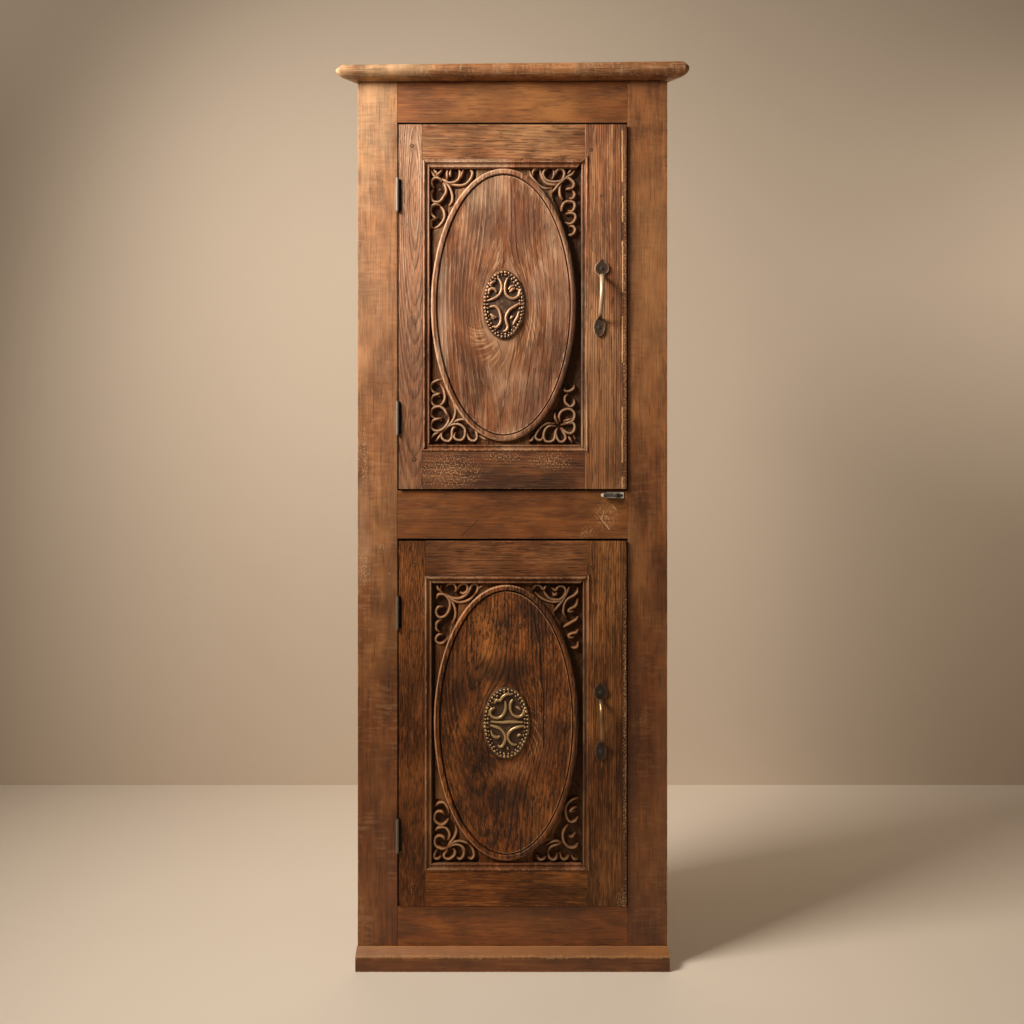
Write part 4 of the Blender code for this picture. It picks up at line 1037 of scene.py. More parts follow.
# The strands are drawn in millimetres from the corner of the panel: inwards, then away along the side.
corner_scrolls = {
    ("upper_door", "left", "top"): (
        ((1, 1), (3, 9), (9, 16), (16, 15)), ((4, 1), (11, 8), (17, 15)), ((24, 1), (18, 9), (10, 15)),
        ((34, 1), (33, 11), (34, 22)), ((41, 1), (39, 11), (40, 17)),
        ((56, 1), (59, 9), (56, 21), (47, 28), (37, 29), (29, 25), (22, 21)), ((66, 2), (61, 14), (56, 22)),
        ((79, 3), (84, 8), (82, 18), (74, 29), (64, 34), (51, 34), (39, 32)),
        ((24, 26), (17, 20), (8, 19), (2, 24), (2, 32), (6, 39)), ((20, 42), (19, 44)),
        ((6, 42), (1, 49), (1, 57), (4, 64), (9, 67), (19, 66), (27, 56), (32, 46), (30, 36), (26, 28)),
        ((29, 29), (37, 36), (42, 47), (44, 59), (42, 69), (36, 76)),
        ((20, 74), (9, 72), (2, 76), (0, 84), (2, 92), (9, 99), (14, 99)),
        ((20, 76), (26, 84), (28, 96), (24, 107), (16, 116), (6, 120)),
        ((9, 101), (1, 104), (0, 109), (1, 116), (6, 120)),
    ),
    ("upper_door", "right", "top"): (
        ((4, 3), (9, 12), (19, 18), (33, 29), (43, 41), (52, 50)), ((18, 12), (13, 6), (10, 2)),
        ((42, 14), (40, 5), (33, 1), (26, 5), (24, 12), (27, 20), (34, 26)),
        ((26, 19), (33, 25), (43, 27), (54, 26), (63, 21), (67, 12), (64, 4), (58, 1)),
        ((47, 2), (45, 12), (49, 22)), ((87, 16), (88, 7), (83, 2), (75, 2)),
        ((73, 2), (71, 12), (66, 24), (58, 31), (46, 33), (34, 31)),
        ((95, 2), (92, 14), (83, 26), (73, 36), (61, 41), (49, 39)),
        ((26, 22), (16, 20), (8, 26), (5, 32), (9, 40), (16, 41), (22, 42)),
        ((31, 32), (34, 42), (33, 54), (28, 62)), ((8, 44), (4, 52), (8, 60), (16, 59)),
        ((30, 86), (29, 76), (23, 67), (13, 66), (5, 69), (4, 77), (9, 85), (18, 84)),
        ((23, 91), (13, 89), (4, 92), (2, 99), (6, 107), (14, 111), (24, 107)),
        ((16, 116), (8, 116), (3, 122), (6, 131), (13, 134), (18, 132)),
    ),
    ("upper_door", "left", "bottom"): (
        ((0, 7), (8, 16), (22, 22)), ((10, 2), (18, 11), (24, 21)),
        ((24, 21), (37, 35), (43, 42), (48, 51), (50, 64), (47, 77), (43, 87)),
        ((37, 51), (35, 41), (27, 29), (15, 23), (5, 26), (1, 34), (5, 44), (13, 47), (23, 49)),
        ((13, 47), (3, 52), (1, 61), (5, 69), (17, 72), (27, 67), (32, 59), (37, 51)), ((20, 44), (22, 45)),
        ((17, 72), (5, 76), (1, 86), (5, 94), (15, 97), (20, 99)),
        ((17, 72), (25, 79), (29, 89), (27, 104), (20, 117)),
        ((15, 99), (5, 102), (0, 111), (3, 119), (13, 124), (27, 127)), ((17, 91), (18, 93)),
        ((24, 21), (22, 12), (28, 4), (37, 3), (43, 11), (43, 22), (46, 30), (52, 30)),
        ((27, 26), (37, 34), (52, 37), (62, 34), (69, 26), (68, 12), (62, 5), (52, 6), (47, 12), (50, 21)),
        ((42, 37), (53, 44), (67, 46), (77, 41), (85, 31)),
        ((72, 21), (78, 7), (87, 3), (93, 9), (92, 21), (87, 29)), ((96, 14), (107, 8), (114, 4)),
        ((102, 2), (114, 2)),
    ),
    ("upper_door", "right", "bottom"): (
        ((33, 42), (35, 52), (30, 62), (18, 67), (8, 64), (4, 55), (8, 45), (18, 40), (27, 40)),
        ((27, 43), (17, 46), (8, 47)), ((32, 35), (10, 40), (4, 33), (6, 23), (13, 18), (23, 22), (30, 30)),
        ((40, 25), (41, 13), (35, 3), (27, 2), (22, 10), (27, 22), (33, 30)),
        ((42, 33), (55, 33), (63, 25), (66, 13), (62, 3), (52, 2), (45, 8), (42, 22), (38, 30)),
        ((43, 38), (60, 38), (72, 30), (82, 15), (80, 7), (72, 5), (67, 12)), ((85, 15), (90, 5), (97, 3)),
        ((37, 38), (43, 50), (43, 60)), ((17, 97), (23, 92), (24, 83), (20, 77), (12, 72), (5, 78), (5, 87)),
        ((23, 113), (25, 105), (17, 102), (7, 107), (4, 115)), ((17, 13), (13, 7), (8, 0)), ((7, 15), (2, 7)),
    ),
    ("lower_door", "left", "top"): (
        ((25, 8), (30, 1), (40, 1), (46, 10), (44, 18)),
        ((48, 13), (53, 3), (62, 0), (68, 6), (67, 15), (60, 20), (53, 18)),
        (
            (23, 20), (32, 27), (43, 30), (55, 29), (65, 22), (72, 12), (77, 3), (83, 1), (89, 6), (88, 15),
            (82, 23),
        ),
        ((82, 23), (72, 32), (60, 37), (48, 37), (37, 32), (28, 25)), ((88, 13), (95, 7), (102, 2)),
        (
            (6, 31), (9, 23), (17, 21), (25, 25), (32, 35), (33, 47), (29, 58), (22, 66), (13, 68), (7, 63),
            (5, 55), (10, 47), (20, 47),
        ),
        ((32, 30), (40, 42), (44, 55), (43, 68), (37, 82)), ((17, 73), (8, 77), (5, 85), (7, 93), (13, 98)),
        ((19, 103), (12, 102), (6, 107), (5, 115), (12, 120), (20, 118), (26, 113)),
        ((7, 2), (9, 10), (20, 20)), ((14, 3), (14, 12)),
    ),
    ("lower_door", "right", "top"): (
        ((19, 6), (24, 17), (32, 32), (42, 46), (52, 58)),
        ((3, 7), (4, 17), (11, 24), (22, 30), (29, 39), (31, 51), (31, 59), (26, 69)),
        ((93, 13), (89, 5), (84, 3), (77, 6), (72, 12), (68, 7), (65, 3)),
        (
            (72, 12), (67, 22), (59, 30), (49, 33), (37, 31), (29, 23), (27, 14), (31, 7), (39, 5), (44, 9),
            (48, 14), (56, 7),
        ),
        ((52, 18), (51, 23), (46, 22), (44, 18)),
        ((89, 17), (79, 27), (67, 34), (54, 37), (41, 36), (32, 32)),
        ((3, 29), (5, 41), (9, 47), (17, 51), (21, 55), (17, 57), (10, 55)),
        ((2, 66), (6, 72), (16, 78), (26, 84), (32, 88)),
        ((2, 92), (6, 98), (16, 101), (21, 105), (17, 109), (10, 107)),
        ((2, 116), (4, 126), (11, 129), (17, 127)),
    ),
    ("lower_door", "left", "bottom"): (
        ((28, 24), (34, 37), (42, 49), (46, 61), (43, 71)),
        ((28, 26), (37, 36), (51, 40), (64, 37), (71, 32)),
        ((28, 25), (39, 32), (51, 32), (61, 24), (63, 14)),
        ((28, 24), (17, 24), (6, 29), (2, 37), (4, 46), (12, 50), (20, 47), (21, 41)),
        ((3, 59), (9, 66), (21, 67), (29, 61), (32, 51), (29, 41)),
        ((31, 84), (24, 76), (16, 72), (7, 76), (2, 84), (3, 94), (9, 99), (17, 98), (22, 92)),
        ((32, 94), (28, 107), (21, 116), (11, 116), (3, 109)), ((13, 124), (15, 125)),
        ((7, 23), (2, 14), (2, 6), (9, 4), (15, 9)),
        ((29, 22), (21, 12), (24, 5), (32, 4), (41, 11), (43, 19), (39, 24)),
        ((56, 26), (61, 16), (57, 6), (51, 4), (46, 7)), ((71, 32), (79, 22), (81, 11), (76, 4), (69, 6)),
        ((97, 6), (107, 4)),
    ),
    ("lower_door", "right", "bottom"): (
        ((35, 35), (45, 40), (55, 38), (68, 30)), ((35, 35), (47, 32), (57, 27), (62, 17)),
        ((22, 72), (30, 63), (33, 52), (30, 37), (20, 27), (8, 27), (2, 35)), ((22, 50), (15, 48), (7, 56)),
        ((15, 48), (14, 43)),
        ((2, 125), (13, 123), (23, 115), (27, 103), (25, 88), (18, 78), (8, 80), (2, 87)),
        ((5, 107), (13, 104), (18, 98), (7, 100)), ((62, 17), (60, 7), (53, 2), (46, 5), (43, 15)),
        ((38, 17), (35, 5), (27, 3), (20, 10)), ((15, 10), (10, 3), (2, 2)),
        ((85, 12), (80, 3), (72, 3), (67, 8)),
    ),
}
STRAND_WIDTH = 0.0072
STRAND_HEIGHT = 0.0080
# The border of a sunk corner, in millimetres inwards and away along the side.
SUNK_EDGE = ((92, 0), (90, 20), (72, 36), (50, 40), (46, 66), (36, 78), (30, 104), (20, 116), (0, 124))
STANDING = 0.0050
STRAND_STEP = 0.0016
LEFT_CHANNEL, RIGHT_CHANNEL = 3.0, 30.0
GROUND_GRID = 0.0022
PANEL_THICK = 0.0095
sunk_bounds = [(math.atan2(away, inward), math.hypot(inward, away)) for inward, away in SUNK_EDGE]


def sunk_share(inward, away):
    """How far a place is sunk: 1 in the corners with the scrolls, 0 where the panel was left standing."""
    angle = math.atan2(max(away, 0.0), max(inward, 0.0))
    for (first, near), (last, far) in zip(sunk_bounds, sunk_bounds[1:]):
        if angle <= last:
            edge = near + (far - near) * (angle - first) / (last - first)
            return min(1.0, max(0.0, 0.5 + (edge - math.hypot(inward, away)) / 3.5))
    return 1.0


for order, (door, look) in enumerate(door_looks.items()):
    left, right, bottom, top_edge = sight[door]
    ground = bmesh.new()
    full_width = right - left + 2 * STICK_REACH
    full_height = top_edge - bottom + 2 * STICK_REACH
    columns, rows = round(full_width / GROUND_GRID), round(full_height / GROUND_GRID)
    sheet = []
    for j in range(rows + 1):
        row = []
        for i in range(columns + 1):
            x = left - STICK_REACH + full_width * i / columns
            z = bottom - STICK_REACH + full_height * j / rows
            cut = 0.0007 * noise.noise((130 * x, 90 * z, 3.0 + order))
            cut += 0.0004 * noise.noise((40 * x, 45 * z, 8.0))
            ragged = 3 * noise.noise((70 * x, 70 * z, 5.0 + order))
            inward, away = 1000 * min(x - left, right - x), 1000 * min(z - bottom, top_edge - z)
            channel = RIGHT_CHANNEL if x > (left + right) / 2 else LEFT_CHANNEL
            sunk = max(sunk_share(inward + ragged, away + ragged), min(1.0, max(0.0, (channel - inward) / 1.8)))
            lump = 0.0016 * sunk * noise.noise((150 * x, 150 * z, 9.0 + order))
            row.append(ground.verts.new((x, ground_y + 0.0002 + cut + lump - STANDING * (1 - sunk), z)))
        sheet.append(row)
    for low_row, high_row in zip(sheet, sheet[1:]):
        for i in range(columns):
            ground.faces.new((low_row[i], low_row[i + 1], high_row[i + 1], high_row[i]))
    rim = [edge for edge in ground.edges if edge.is_boundary]
    grown = bmesh.ops.extrude_edge_only(ground, edges=rim)["geom"]
    back_verts = [item for item in grown if isinstance(item, bmesh.types.BMVert)]
    for vert in back_verts:
        vert.co.y = ground_y + PANEL_THICK
    bmesh.ops.contextual_create(ground, geom=[edge for edge in ground.edges if edge.is_boundary])
    ground_tint = (0.70, 0.82, 0.95) if door == "upper_door" else (0.80, 0.90, 1.0)
    ground_look = {**tinted(look, *ground_tint), "Fibres": 0.4, "Bump": 0.0004, "Wax": 0.0, "Gloss": 0.15}
    panel_centre = ((left + right) / 2, -0.1, (bottom + top_edge) / 2)
    soot_and_shade = stain(76, 50, 34) if door == "upper_door" else stain(68, 42, 24)
    ground_timber = timber(
        f"{door}_ground_timber", ground_look, panel_centre, pith=(0.06, 0.08), seed=5 + order
    )
    darken_hollows(ground_timber, ground_y - 0.0010, ground_y - 0.0052, soot_and_shade)
    panel = make_piece(f"{door}_panel_ground", ground, ground_timber)
    fit(panel, door, "carved_wood", f"{door}_carved_panel")

    strands = []
    for (owner, side, end), scrolls in corner_scrolls.items():
        for strand in scrolls if owner == door else ():
            points = []
            for inward, away in strand:
                x = right - inward / 1000 if side == "right" else left + inward / 1000
                z = top_edge - away / 1000 if end == "top" else bottom + away / 1000
                wander = 0.0007 * noise.noise((40 * x, 40 * z, 2.0 + order))
                points.append((x + wander, ground_y, z - wander))
            strands.append(points)
    scroll_look = tinted(look, 0.85, 0.79, 0.74)
    scroll_look.update({"Rings": 0.2, "Fibres": 0.5, "Bump": 0.0003, "Wax": 0.0, "Gloss": 0.2})
    scroll_timber = timber(
        f"{door}_scroll_timber", scroll_look, panel_centre, pith=(0.05, 0.07), seed=8 + order
    )
    crest = stain(236, 198, 158) if door == "upper_door" else stain(206, 162, 120)
    rub_crests(scroll_timber, ground_y - 0.0052, ground_y - 0.0084, crest, 0.6)
    darken_hollows(scroll_timber, ground_y - 0.0012, ground_y - 0.0046, soot_and_shade)
    tree = scroll_timber.node_tree
    # Painted shade: the scrolls are darkened over the right-hand half of the panel.
    lay_over(scroll_timber, fade(tree, place_on(tree, "X"), 0.0, 0.06, 0.0, 0.35), soot_and_shade)
    values = {
        "Strand Width": STRAND_WIDTH, "Strand Height": STRAND_HEIGHT, "Step": STRAND_STEP,
        "Finish": scroll_timber,
    }
    scrolls = grow(f"{door}_corner_scrolls", drawing(f"{door}_scroll_lines", strands), strand_tree, values)
    fit(scrolls, door, "carved_wood")


# Oval fields: an oval board a door, planted on the panel, its rim turned to a fat round bead with a
# quirk inside it. The face keeps its open weathered grain, with a feathered figure about the rosette.

# Millimetres inwards from the rim and forwards from the ground, then wear and dirt.
RIM_STEPS = (
    (0.0, 0.0, 0.0, 0.9), (0.0, 7.5, 0.0, 0.6), (0.5, 10.2, 0.7, 0.0), (1.6, 12.0, 1.0, 0.0),
    (3.2, 13.0, 0.8, 0.0), (5.0, 13.3, 0.2, 0.0), (7.0, 13.3, 0.0, 0.0), (10.0, 13.2, 0.0, 0.0),
    (11.0, 12.2, 0.1, 0.1), (11.6, 9.4, 0.0, 0.6), (12.0, 7.8, 0.0, 1.0), (13.2, 7.8, 0.0, 1.0),
    (13.7, 9.4, 0.6, 0.2), (14.5, 10.6, 1.0, 0.0), (15.7, 10.6, 0.7, 0.0), (19.0, 10.1, 0.2, 0.0),
)
SQUAT = 0.62


@pattern("feathered_figure", {"Middle": "Vector", "Toward": "Vector", "Reach": "Float", "Twist": "Float"})
def feather_group(tree, given):
    """Strokes that spread out from a middle to one side, as the figure of a crotch does."""
    away = vector_calc(tree, "SUBTRACT", given["Place"], given["Middle"])
    parts = split(tree, away)
    x, z = parts["X"], times(tree, parts["Z"], SQUAT)
    distance = calc(tree, "SQRT", calc(tree, "MULTIPLY_ADD", x, x, times(tree, z, z)))
    angle = calc(tree, "MULTIPLY_ADD", distance, given["Twist"], calc(tree, "ARCTAN2", z, x))
    about = join(tree, calc(tree, "SINE", angle), calc(tree, "COSINE", angle), distance)
    strokes = fade(tree, speckle(tree, about, (15, 15, 34), 4), 0.50, 0.60)
    facing = measure(tree, "DOT_PRODUCT", vector_calc(tree, "NORMALIZE", away), given["Toward"])
    ring = calc(tree, "DIVIDE", distance, given["Reach"])
    span = times(tree, fade(tree, ring, 0.68, 0.95), fade(tree, ring, 1.05, 1.4, 1.0, 0.0))
    return times(tree, strokes, times(tree, span, fade(tree, facing, 0.3, 0.7)))


def build_knot_group():
    """Bends upright grain so that its lines part above a middle, run round it and close again below."""
    inputs = {"Place": "Vector", "Middle": "Vector", "Knot Radius": "Float"}
    tree, given, out = new_group("grain_round_knot", inputs, {"Place": "Vector"})
    away = vector_calc(tree, "SUBTRACT", given["Place"], given["Middle"])
    flat = vector_calc(tree, "MULTIPLY", away, (1.0, 0.0, SQUAT))
    square = measure(tree, "DOT_PRODUCT", flat, flat)
    knot = times(tree, given["Knot Radius"], given["Knot Radius"])
    pinch = calc(tree, "DIVIDE", knot, calc(tree, "MULTIPLY_ADD", knot, 0.2, square))
    moved = join(tree, times(tree, split(tree, away)["X"], pinch, -1.0))
    tree.links.new(vector_calc(tree, "ADD", given["Place"], moved), out["Place"])
    return tree


knot_group = build_knot_group()
# Stains on the fields, with a painted highlight and painted shade on the upper one: place across and up, half
# width and half height, colour and strength.
field_stains_and_light = {
    "upper_door": (
        (-0.098, 1.332, 0.036, 0.100, stain(98, 56, 30), 0.6),
        (-0.062, 1.238, 0.040, 0.034, stain(120, 64, 28), 0.6),
        (0.016, 1.486, 0.044, 0.060, stain(104, 58, 38), 0.55),
        (-0.045, 1.500, 0.040, 0.070, stain(112, 66, 42), 0.35),
        (0.048, 1.350, 0.022, 0.060, stain(206, 162, 134), 0.2),
        (0.012, 1.214, 0.070, 0.034, stain(118, 62, 27), 0.6),
        # Painted highlight along the left of the upper field, inside the bead.
        (-0.140, 1.290, 0.016, 0.150, stain(214, 178, 146), 0.35),
        (0.060, 1.100, 0.070, 0.060, stain(112, 64, 44), 0.5),
        # Painted shade along the right of the upper field, inside the bead.
        (0.105, 1.340, 0.034, 0.140, stain(116, 68, 46), 0.5),
    ),
    "lower_door": (
        (-0.020, 0.592, 0.080, 0.034, stain(34, 17, 8), 0.65),
        (-0.110, 0.560, 0.030, 0.070, stain(38, 19, 9), 0.55),
        (0.000, 0.394, 0.056, 0.026, stain(154, 92, 50), 0.5),
        (0.066, 0.470, 0.026, 0.070, stain(124, 74, 44), 0.45),
        (-0.020, 0.336, 0.110, 0.032, stain(38, 19, 9), 0.6),
        (0.112, 0.560, 0.018, 0.090, stain(140, 80, 36), 0.3),
        (-0.110, 0.600, 0.020, 0.040, stain(128, 74, 36), 0.4),
        (-0.010, 0.700, 0.05, 0.030, stain(52, 27, 13), 0.45),
    ),
}
AROUND = 144
RIM_SPREAD = 0.0014
RIM_WIDTH = 19.0
FIELD_RISE = 10.0
FACE_RINGS = 14
for order, (door, look) in enumerate(door_looks.items()):
    low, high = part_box(f"{door}_oval_field")
    centre = (low + high) / 2
    wide, tall = (high.x - low.x) / 2 + RIM_SPREAD, (high.z - low.z) / 2
    field = bmesh.new()
    wear_and_highlight = field.verts.layers.float.new("wear_and_highlight")
    dirt_and_shade = field.verts.layers.float.new("dirt_and_shade")
    steps = list(RIM_STEPS)
    for k in range(1, FACE_RINGS):
        steps.append((RIM_WIDTH + (1000 * wide - RIM_WIDTH) * k / FACE_RINGS, FIELD_RISE, 0.0, 0.0))
    rings = []
    for inward, rise, worn, dirty in steps:
        share = max(0.0, (inward - RIM_WIDTH) / (1000 * wide - RIM_WIDTH))
        half_x = wide - inward / 1000
        half_z = (tall - inward / 1000) if share == 0 else (tall - RIM_WIDTH / 1000) * (1 - share)
        ring = []
        for k in range(AROUND):
            angle = 2 * math.pi * k / AROUND
            x = centre.x + half_x * math.cos(angle)
            z = centre.z + half_z * math.sin(angle)
            shake = 0.00035 * noise.noise((25 * x, 12 * z, 4.0 + order)) if rise > 1 else 0.0
            vert = field.verts.new((x, ground_y - rise / 1000 - shake, z))
            # Painted light on the bead: the side turned away from the lamp gets painted shade and less rubbing,
            # and the inner flank turned towards it gets a painted highlight.
            lee = math.cos(angle) if inward < 8 else -math.cos(angle)
            painted_lee_shade = (0.62 if inward < 8 else 0.04) * max(0.0, lee) if 0 < rise and inward < 12 else 0.0
            painted_lamp_highlight = 0.5 * max(0.0, -lee) if 9 < inward < 12 else 0.0
            vert[wear_and_highlight] = max(worn, painted_lamp_highlight) * (1 - 0.8 * max(0.0, lee))
            vert[dirt_and_shade] = min(1.0, dirty + painted_lee_shade)
            ring.append(vert)
        rings.append(ring)
    skin(field, rings, caps=())
    hub = field.verts.new((centre.x, ground_y - FIELD_RISE / 1000, centre.z))
    for i in range(AROUND):
        field.faces.new((rings[-1][i - 1], rings[-1][i], hub))
    field.faces.new(rings[0])
    field_tint = (0.86, 0.80, 0.77) if door == "upper_door" else (1.0, 0.84, 0.56)
    field_look = {
        **tinted(look, *field_tint), "Rings": 0.4, "Ring Spacing": 0.0090, "Fibres": 0.7, "Pores": 0.7,
        "Blotches": 0.6, "Wander": 0.06, "Curl": 0.005, "Bare Edges": 0.6, "Foot Grime And Painted Shade": 0.3, "Bump": 0.0012,
        "Gloss": 0.4,
    }
    pith, tilt = (0.01, 0.03), 0.07
    if door == "lower_door":
        field_look.update({"Rings": 1.0, "Ring Spacing": 0.0068, "Fibres": 0.65, "Pores": 0.9, "Bump": 0.0010})
        field_look["Deep"] = stain(30, 14, 5)
        pith, tilt = (0.045, 0.045), 0.16
    else:
        field_look["Pale"] = stain(218, 172, 134)
    field_timber = timber(f"{door}_field_timber", field_look, centre, pith=pith, tilt=tilt, seed=11 + order)
    tree = field_timber.node_tree
    toward = (0.1, 0.0, -0.99) if door == "upper_door" else (0.85, 0.0, -0.52)
    figure = {"Middle": centre, "Toward": toward, "Reach": 0.062, "Twist": 12.0}
    knot = {"Place": place_on(tree), "Middle": centre, "Knot Radius": 0.044}
    bent = put(tree, "ShaderNodeGroup", knot, node_tree=knot_group).outputs["Place"]
    tree.links.new(bent, grain_of(field_timber).inputs["Vector"])
    for x, z, half_x, half_z, colour, strength in field_stains_and_light[door]:
        stain_and_light(field_timber, x, z, half_x, half_z, colour, strength)
    lay_over(field_timber, mask(tree, feather_group, figure), look["Pale"], 0.6)
    if door == "lower_door":
        open_pores(field_timber, old_pores, 0.75)
        # Painted highlight: the most rubbed part of the bead, on its side towards the lamp, is painted pale
        # grey.
        lay_over(field_timber, fade(tree, marked(tree, "wear_and_highlight"), 0.7, 1.0, 0.0, 0.55), stain(196, 154, 118))
        y = ground_y - FIELD_RISE / 1000
        crack = [(0.036, y, 0.728), (0.055, y, 0.640), (0.062, y, 0.530), (0.062, y, 0.440)]
        for start, end in zip(crack, crack[1:]):
            score(field_timber, start, end, 0.0020, stain(16, 8, 4))
    fit(make_piece(f"{door}_oval_board", field, field_timber), door, "carved_wood", f"{door}_oval_field")


# Rosettes: small oval castings in aged bronze, with two rows of beads round a low star with four arms and
# scrolls between the arms. They are pinned to the oval fields, dark in the hollows and rubbed on top.

def aged_metal(name, dark, bright, low=None, high=None, rough=(0.55, 0.34), shine=0.9):
    """Old cast metal: a dark skin, with bright metal where it is rubbed, by height or by the rubbing kept on
    its points, which on the handles also carries a painted highlight.
    """
    tree, shader, material = new_finish(name)
    place = place_on(tree)
    grit = speckle(tree, place, (420, 420, 420), 4)
    cloud = speckle(tree, place, (70, 70, 70), 3)
    worn = marked(tree, "wear_and_highlight") if low is None else calc(tree, "SUBTRACT", 1.0, hollow_mask(tree, low, high))
    shift = calc(tree, "SUBTRACT", calc(tree, "ADD", grit, cloud), 1.0)
    rubbed = fade(tree, calc(tree, "MULTIPLY_ADD", shift, 0.9, worn), 0.25, 0.85)
    tree.links.new(blend(tree, rubbed, dark, bright), shader["Base Color"])
    tree.links.new(fade(tree, rubbed, 0.0, 1.0, rough[0], rough[1]), shader["Roughness"])
    tree.links.new(fade(tree, rubbed, 0.0, 1.0, 0.2, shine), shader["Metallic"])
    bump = put(tree, "ShaderNodeBump", {"Height": grit, "Strength": 0.5, "Distance": 0.0004})
    tree.links.new(bump.outputs[0], shader["Normal"])
    return material


def build_bead_tree():
    """Set a row of beads, not quite alike, along an oval line in the plane of the door."""
    inputs = {
        "Start": "Geometry", "Half Width": "Float", "Half Height": "Float", "Bead Radius": "Float",
        "Count": "Int", "Seed": "Int", "Middle": "Vector", "Finish": "Material",
    }
    tree, given, out = new_group("bead_row", inputs, {"Beads": "Geometry"}, "GeometryNodeTree")
    line = step(tree, "CurvePrimitiveCircle", {"Resolution": 120, "Radius": 1.0})
    size = join(tree, given["Half Width"], given["Half Height"], 1.0)
    line = step(tree, "Transform", {"Geometry": line, "Scale": size})
    upright = {"Geometry": line, "Rotation": (math.pi / 2, 0, 0), "Translation": given["Middle"]}
    line = step(tree, "Transform", upright)
    points = step(tree, "CurveToPoints", {"Curve": line, "Count": given["Count"]}, mode="COUNT")
    bead = step(tree, "MeshIcoSphere", {"Radius": given["Bead Radius"], "Subdivisions": 2})
    least, most = (0.55, 0.70, 0.55), (1.20, 1.15, 1.20)
    spread = {0: least, 1: most, "Seed": given["Seed"]}
    vary = put(tree, "FunctionNodeRandomValue", spread, data_type="FLOAT_VECTOR").outputs[0]
    beads = step(tree, "InstanceOnPoints", {"Points": points, "Instance": bead, "Scale": vary})
    close_steps(tree, out, beads, given["Finish"])
    return tree


bead_tree = build_bead_tree()
# Drawn in shares of the rosette's half width and half height, from its middle.
rosette_scrolls = {
    "upper_door": (
        (
            (-0.27, 0.78), (-0.13, 0.64), (-0.09, 0.48), (-0.16, 0.32), (-0.32, 0.22), (-0.51, 0.16),
            (-0.73, 0.11),
        ),
        ((-0.71, 0.30), (-0.68, 0.41), (-0.56, 0.46), (-0.41, 0.43), (-0.34, 0.35)),
        ((-0.66, 0.54), (-0.56, 0.62), (-0.38, 0.68)),
        (
            (0.19, 0.77), (0.09, 0.60), (0.07, 0.43), (0.12, 0.29), (0.28, 0.20), (0.47, 0.17), (0.67, 0.23),
            (0.76, 0.33), (0.74, 0.43),
        ),
        ((0.23, 0.42), (0.34, 0.50), (0.50, 0.55)), ((0.30, 0.36), (0.42, 0.44), (0.55, 0.46)),
        (
            (0.78, 0.04), (0.56, -0.05), (0.34, -0.13), (0.19, -0.24), (0.11, -0.37), (0.14, -0.51),
            (0.20, -0.64), (0.14, -0.74), (-0.03, -0.78),
        ),
        ((0.71, -0.21), (0.67, -0.35), (0.54, -0.48), (0.45, -0.59)),
        ((0.32, -0.42), (0.40, -0.36), (0.48, -0.36)),
        (
            (-0.67, -0.08), (-0.43, -0.05), (-0.25, -0.13), (-0.16, -0.27), (-0.13, -0.43), (-0.18, -0.56),
            (-0.34, -0.66), (-0.48, -0.62),
        ),
        ((-0.64, -0.27), (-0.49, -0.34), (-0.34, -0.38)), ((-0.60, -0.36), (-0.46, -0.42)),
    ),
    "lower_door": (
        ((0.22, 0.80), (0.0, 0.80), (-0.17, 0.72), (-0.27, 0.63), (-0.42, 0.64), (-0.51, 0.55)),
        (
            (-0.05, 0.62), (-0.02, 0.45), (-0.08, 0.30), (-0.22, 0.18), (-0.42, 0.14), (-0.61, 0.19),
            (-0.69, 0.30), (-0.63, 0.39), (-0.49, 0.42),
        ),
        (
            (0.27, 0.66), (0.18, 0.55), (0.17, 0.39), (0.27, 0.25), (0.45, 0.18), (0.63, 0.20), (0.74, 0.30),
            (0.76, 0.42),
        ),
        ((0.40, 0.46), (0.52, 0.42), (0.62, 0.36)),
        ((-0.66, 0.04), (-0.20, 0.02), (0.15, 0.03), (0.72, 0.02)),
        (
            (-0.70, -0.06), (-0.42, -0.11), (-0.22, -0.18), (-0.08, -0.30), (-0.04, -0.43), (-0.10, -0.56),
            (-0.22, -0.66), (-0.37, -0.62),
        ),
        ((-0.65, -0.20), (-0.57, -0.34), (-0.40, -0.40), (-0.28, -0.36)),
        ((0.45, -0.37), (0.55, -0.33), (0.64, -0.34)),
        (
            (0.77, -0.08), (0.54, -0.10), (0.29, -0.16), (0.13, -0.25), (0.06, -0.37), (0.13, -0.50),
            (0.27, -0.59), (0.45, -0.60),
        ),
        ((0.04, -0.66), (0.08, -0.74)),
    ),
}
# Share of the way out from the middle, and millimetres forwards.
PLATE_STEPS = (
    (1.0, 0.0), (1.0, 2.6), (0.98, 3.6), (0.95, 3.6), (0.91, 2.4), (0.80, 1.8), (0.70, 1.6), (0.58, 1.6),
    (0.46, 1.6), (0.34, 1.6), (0.22, 1.6), (0.10, 1.6),
)
PLATE_SIDES = 72
STAR_RISE = 1.5
# Rubbed bronze, its roughness and its shine.
bronze_looks = {
    "upper_door": (stain(198, 150, 110), 0.42, 0.2), "lower_door": (stain(184, 148, 100), 0.32, 0.4),
}
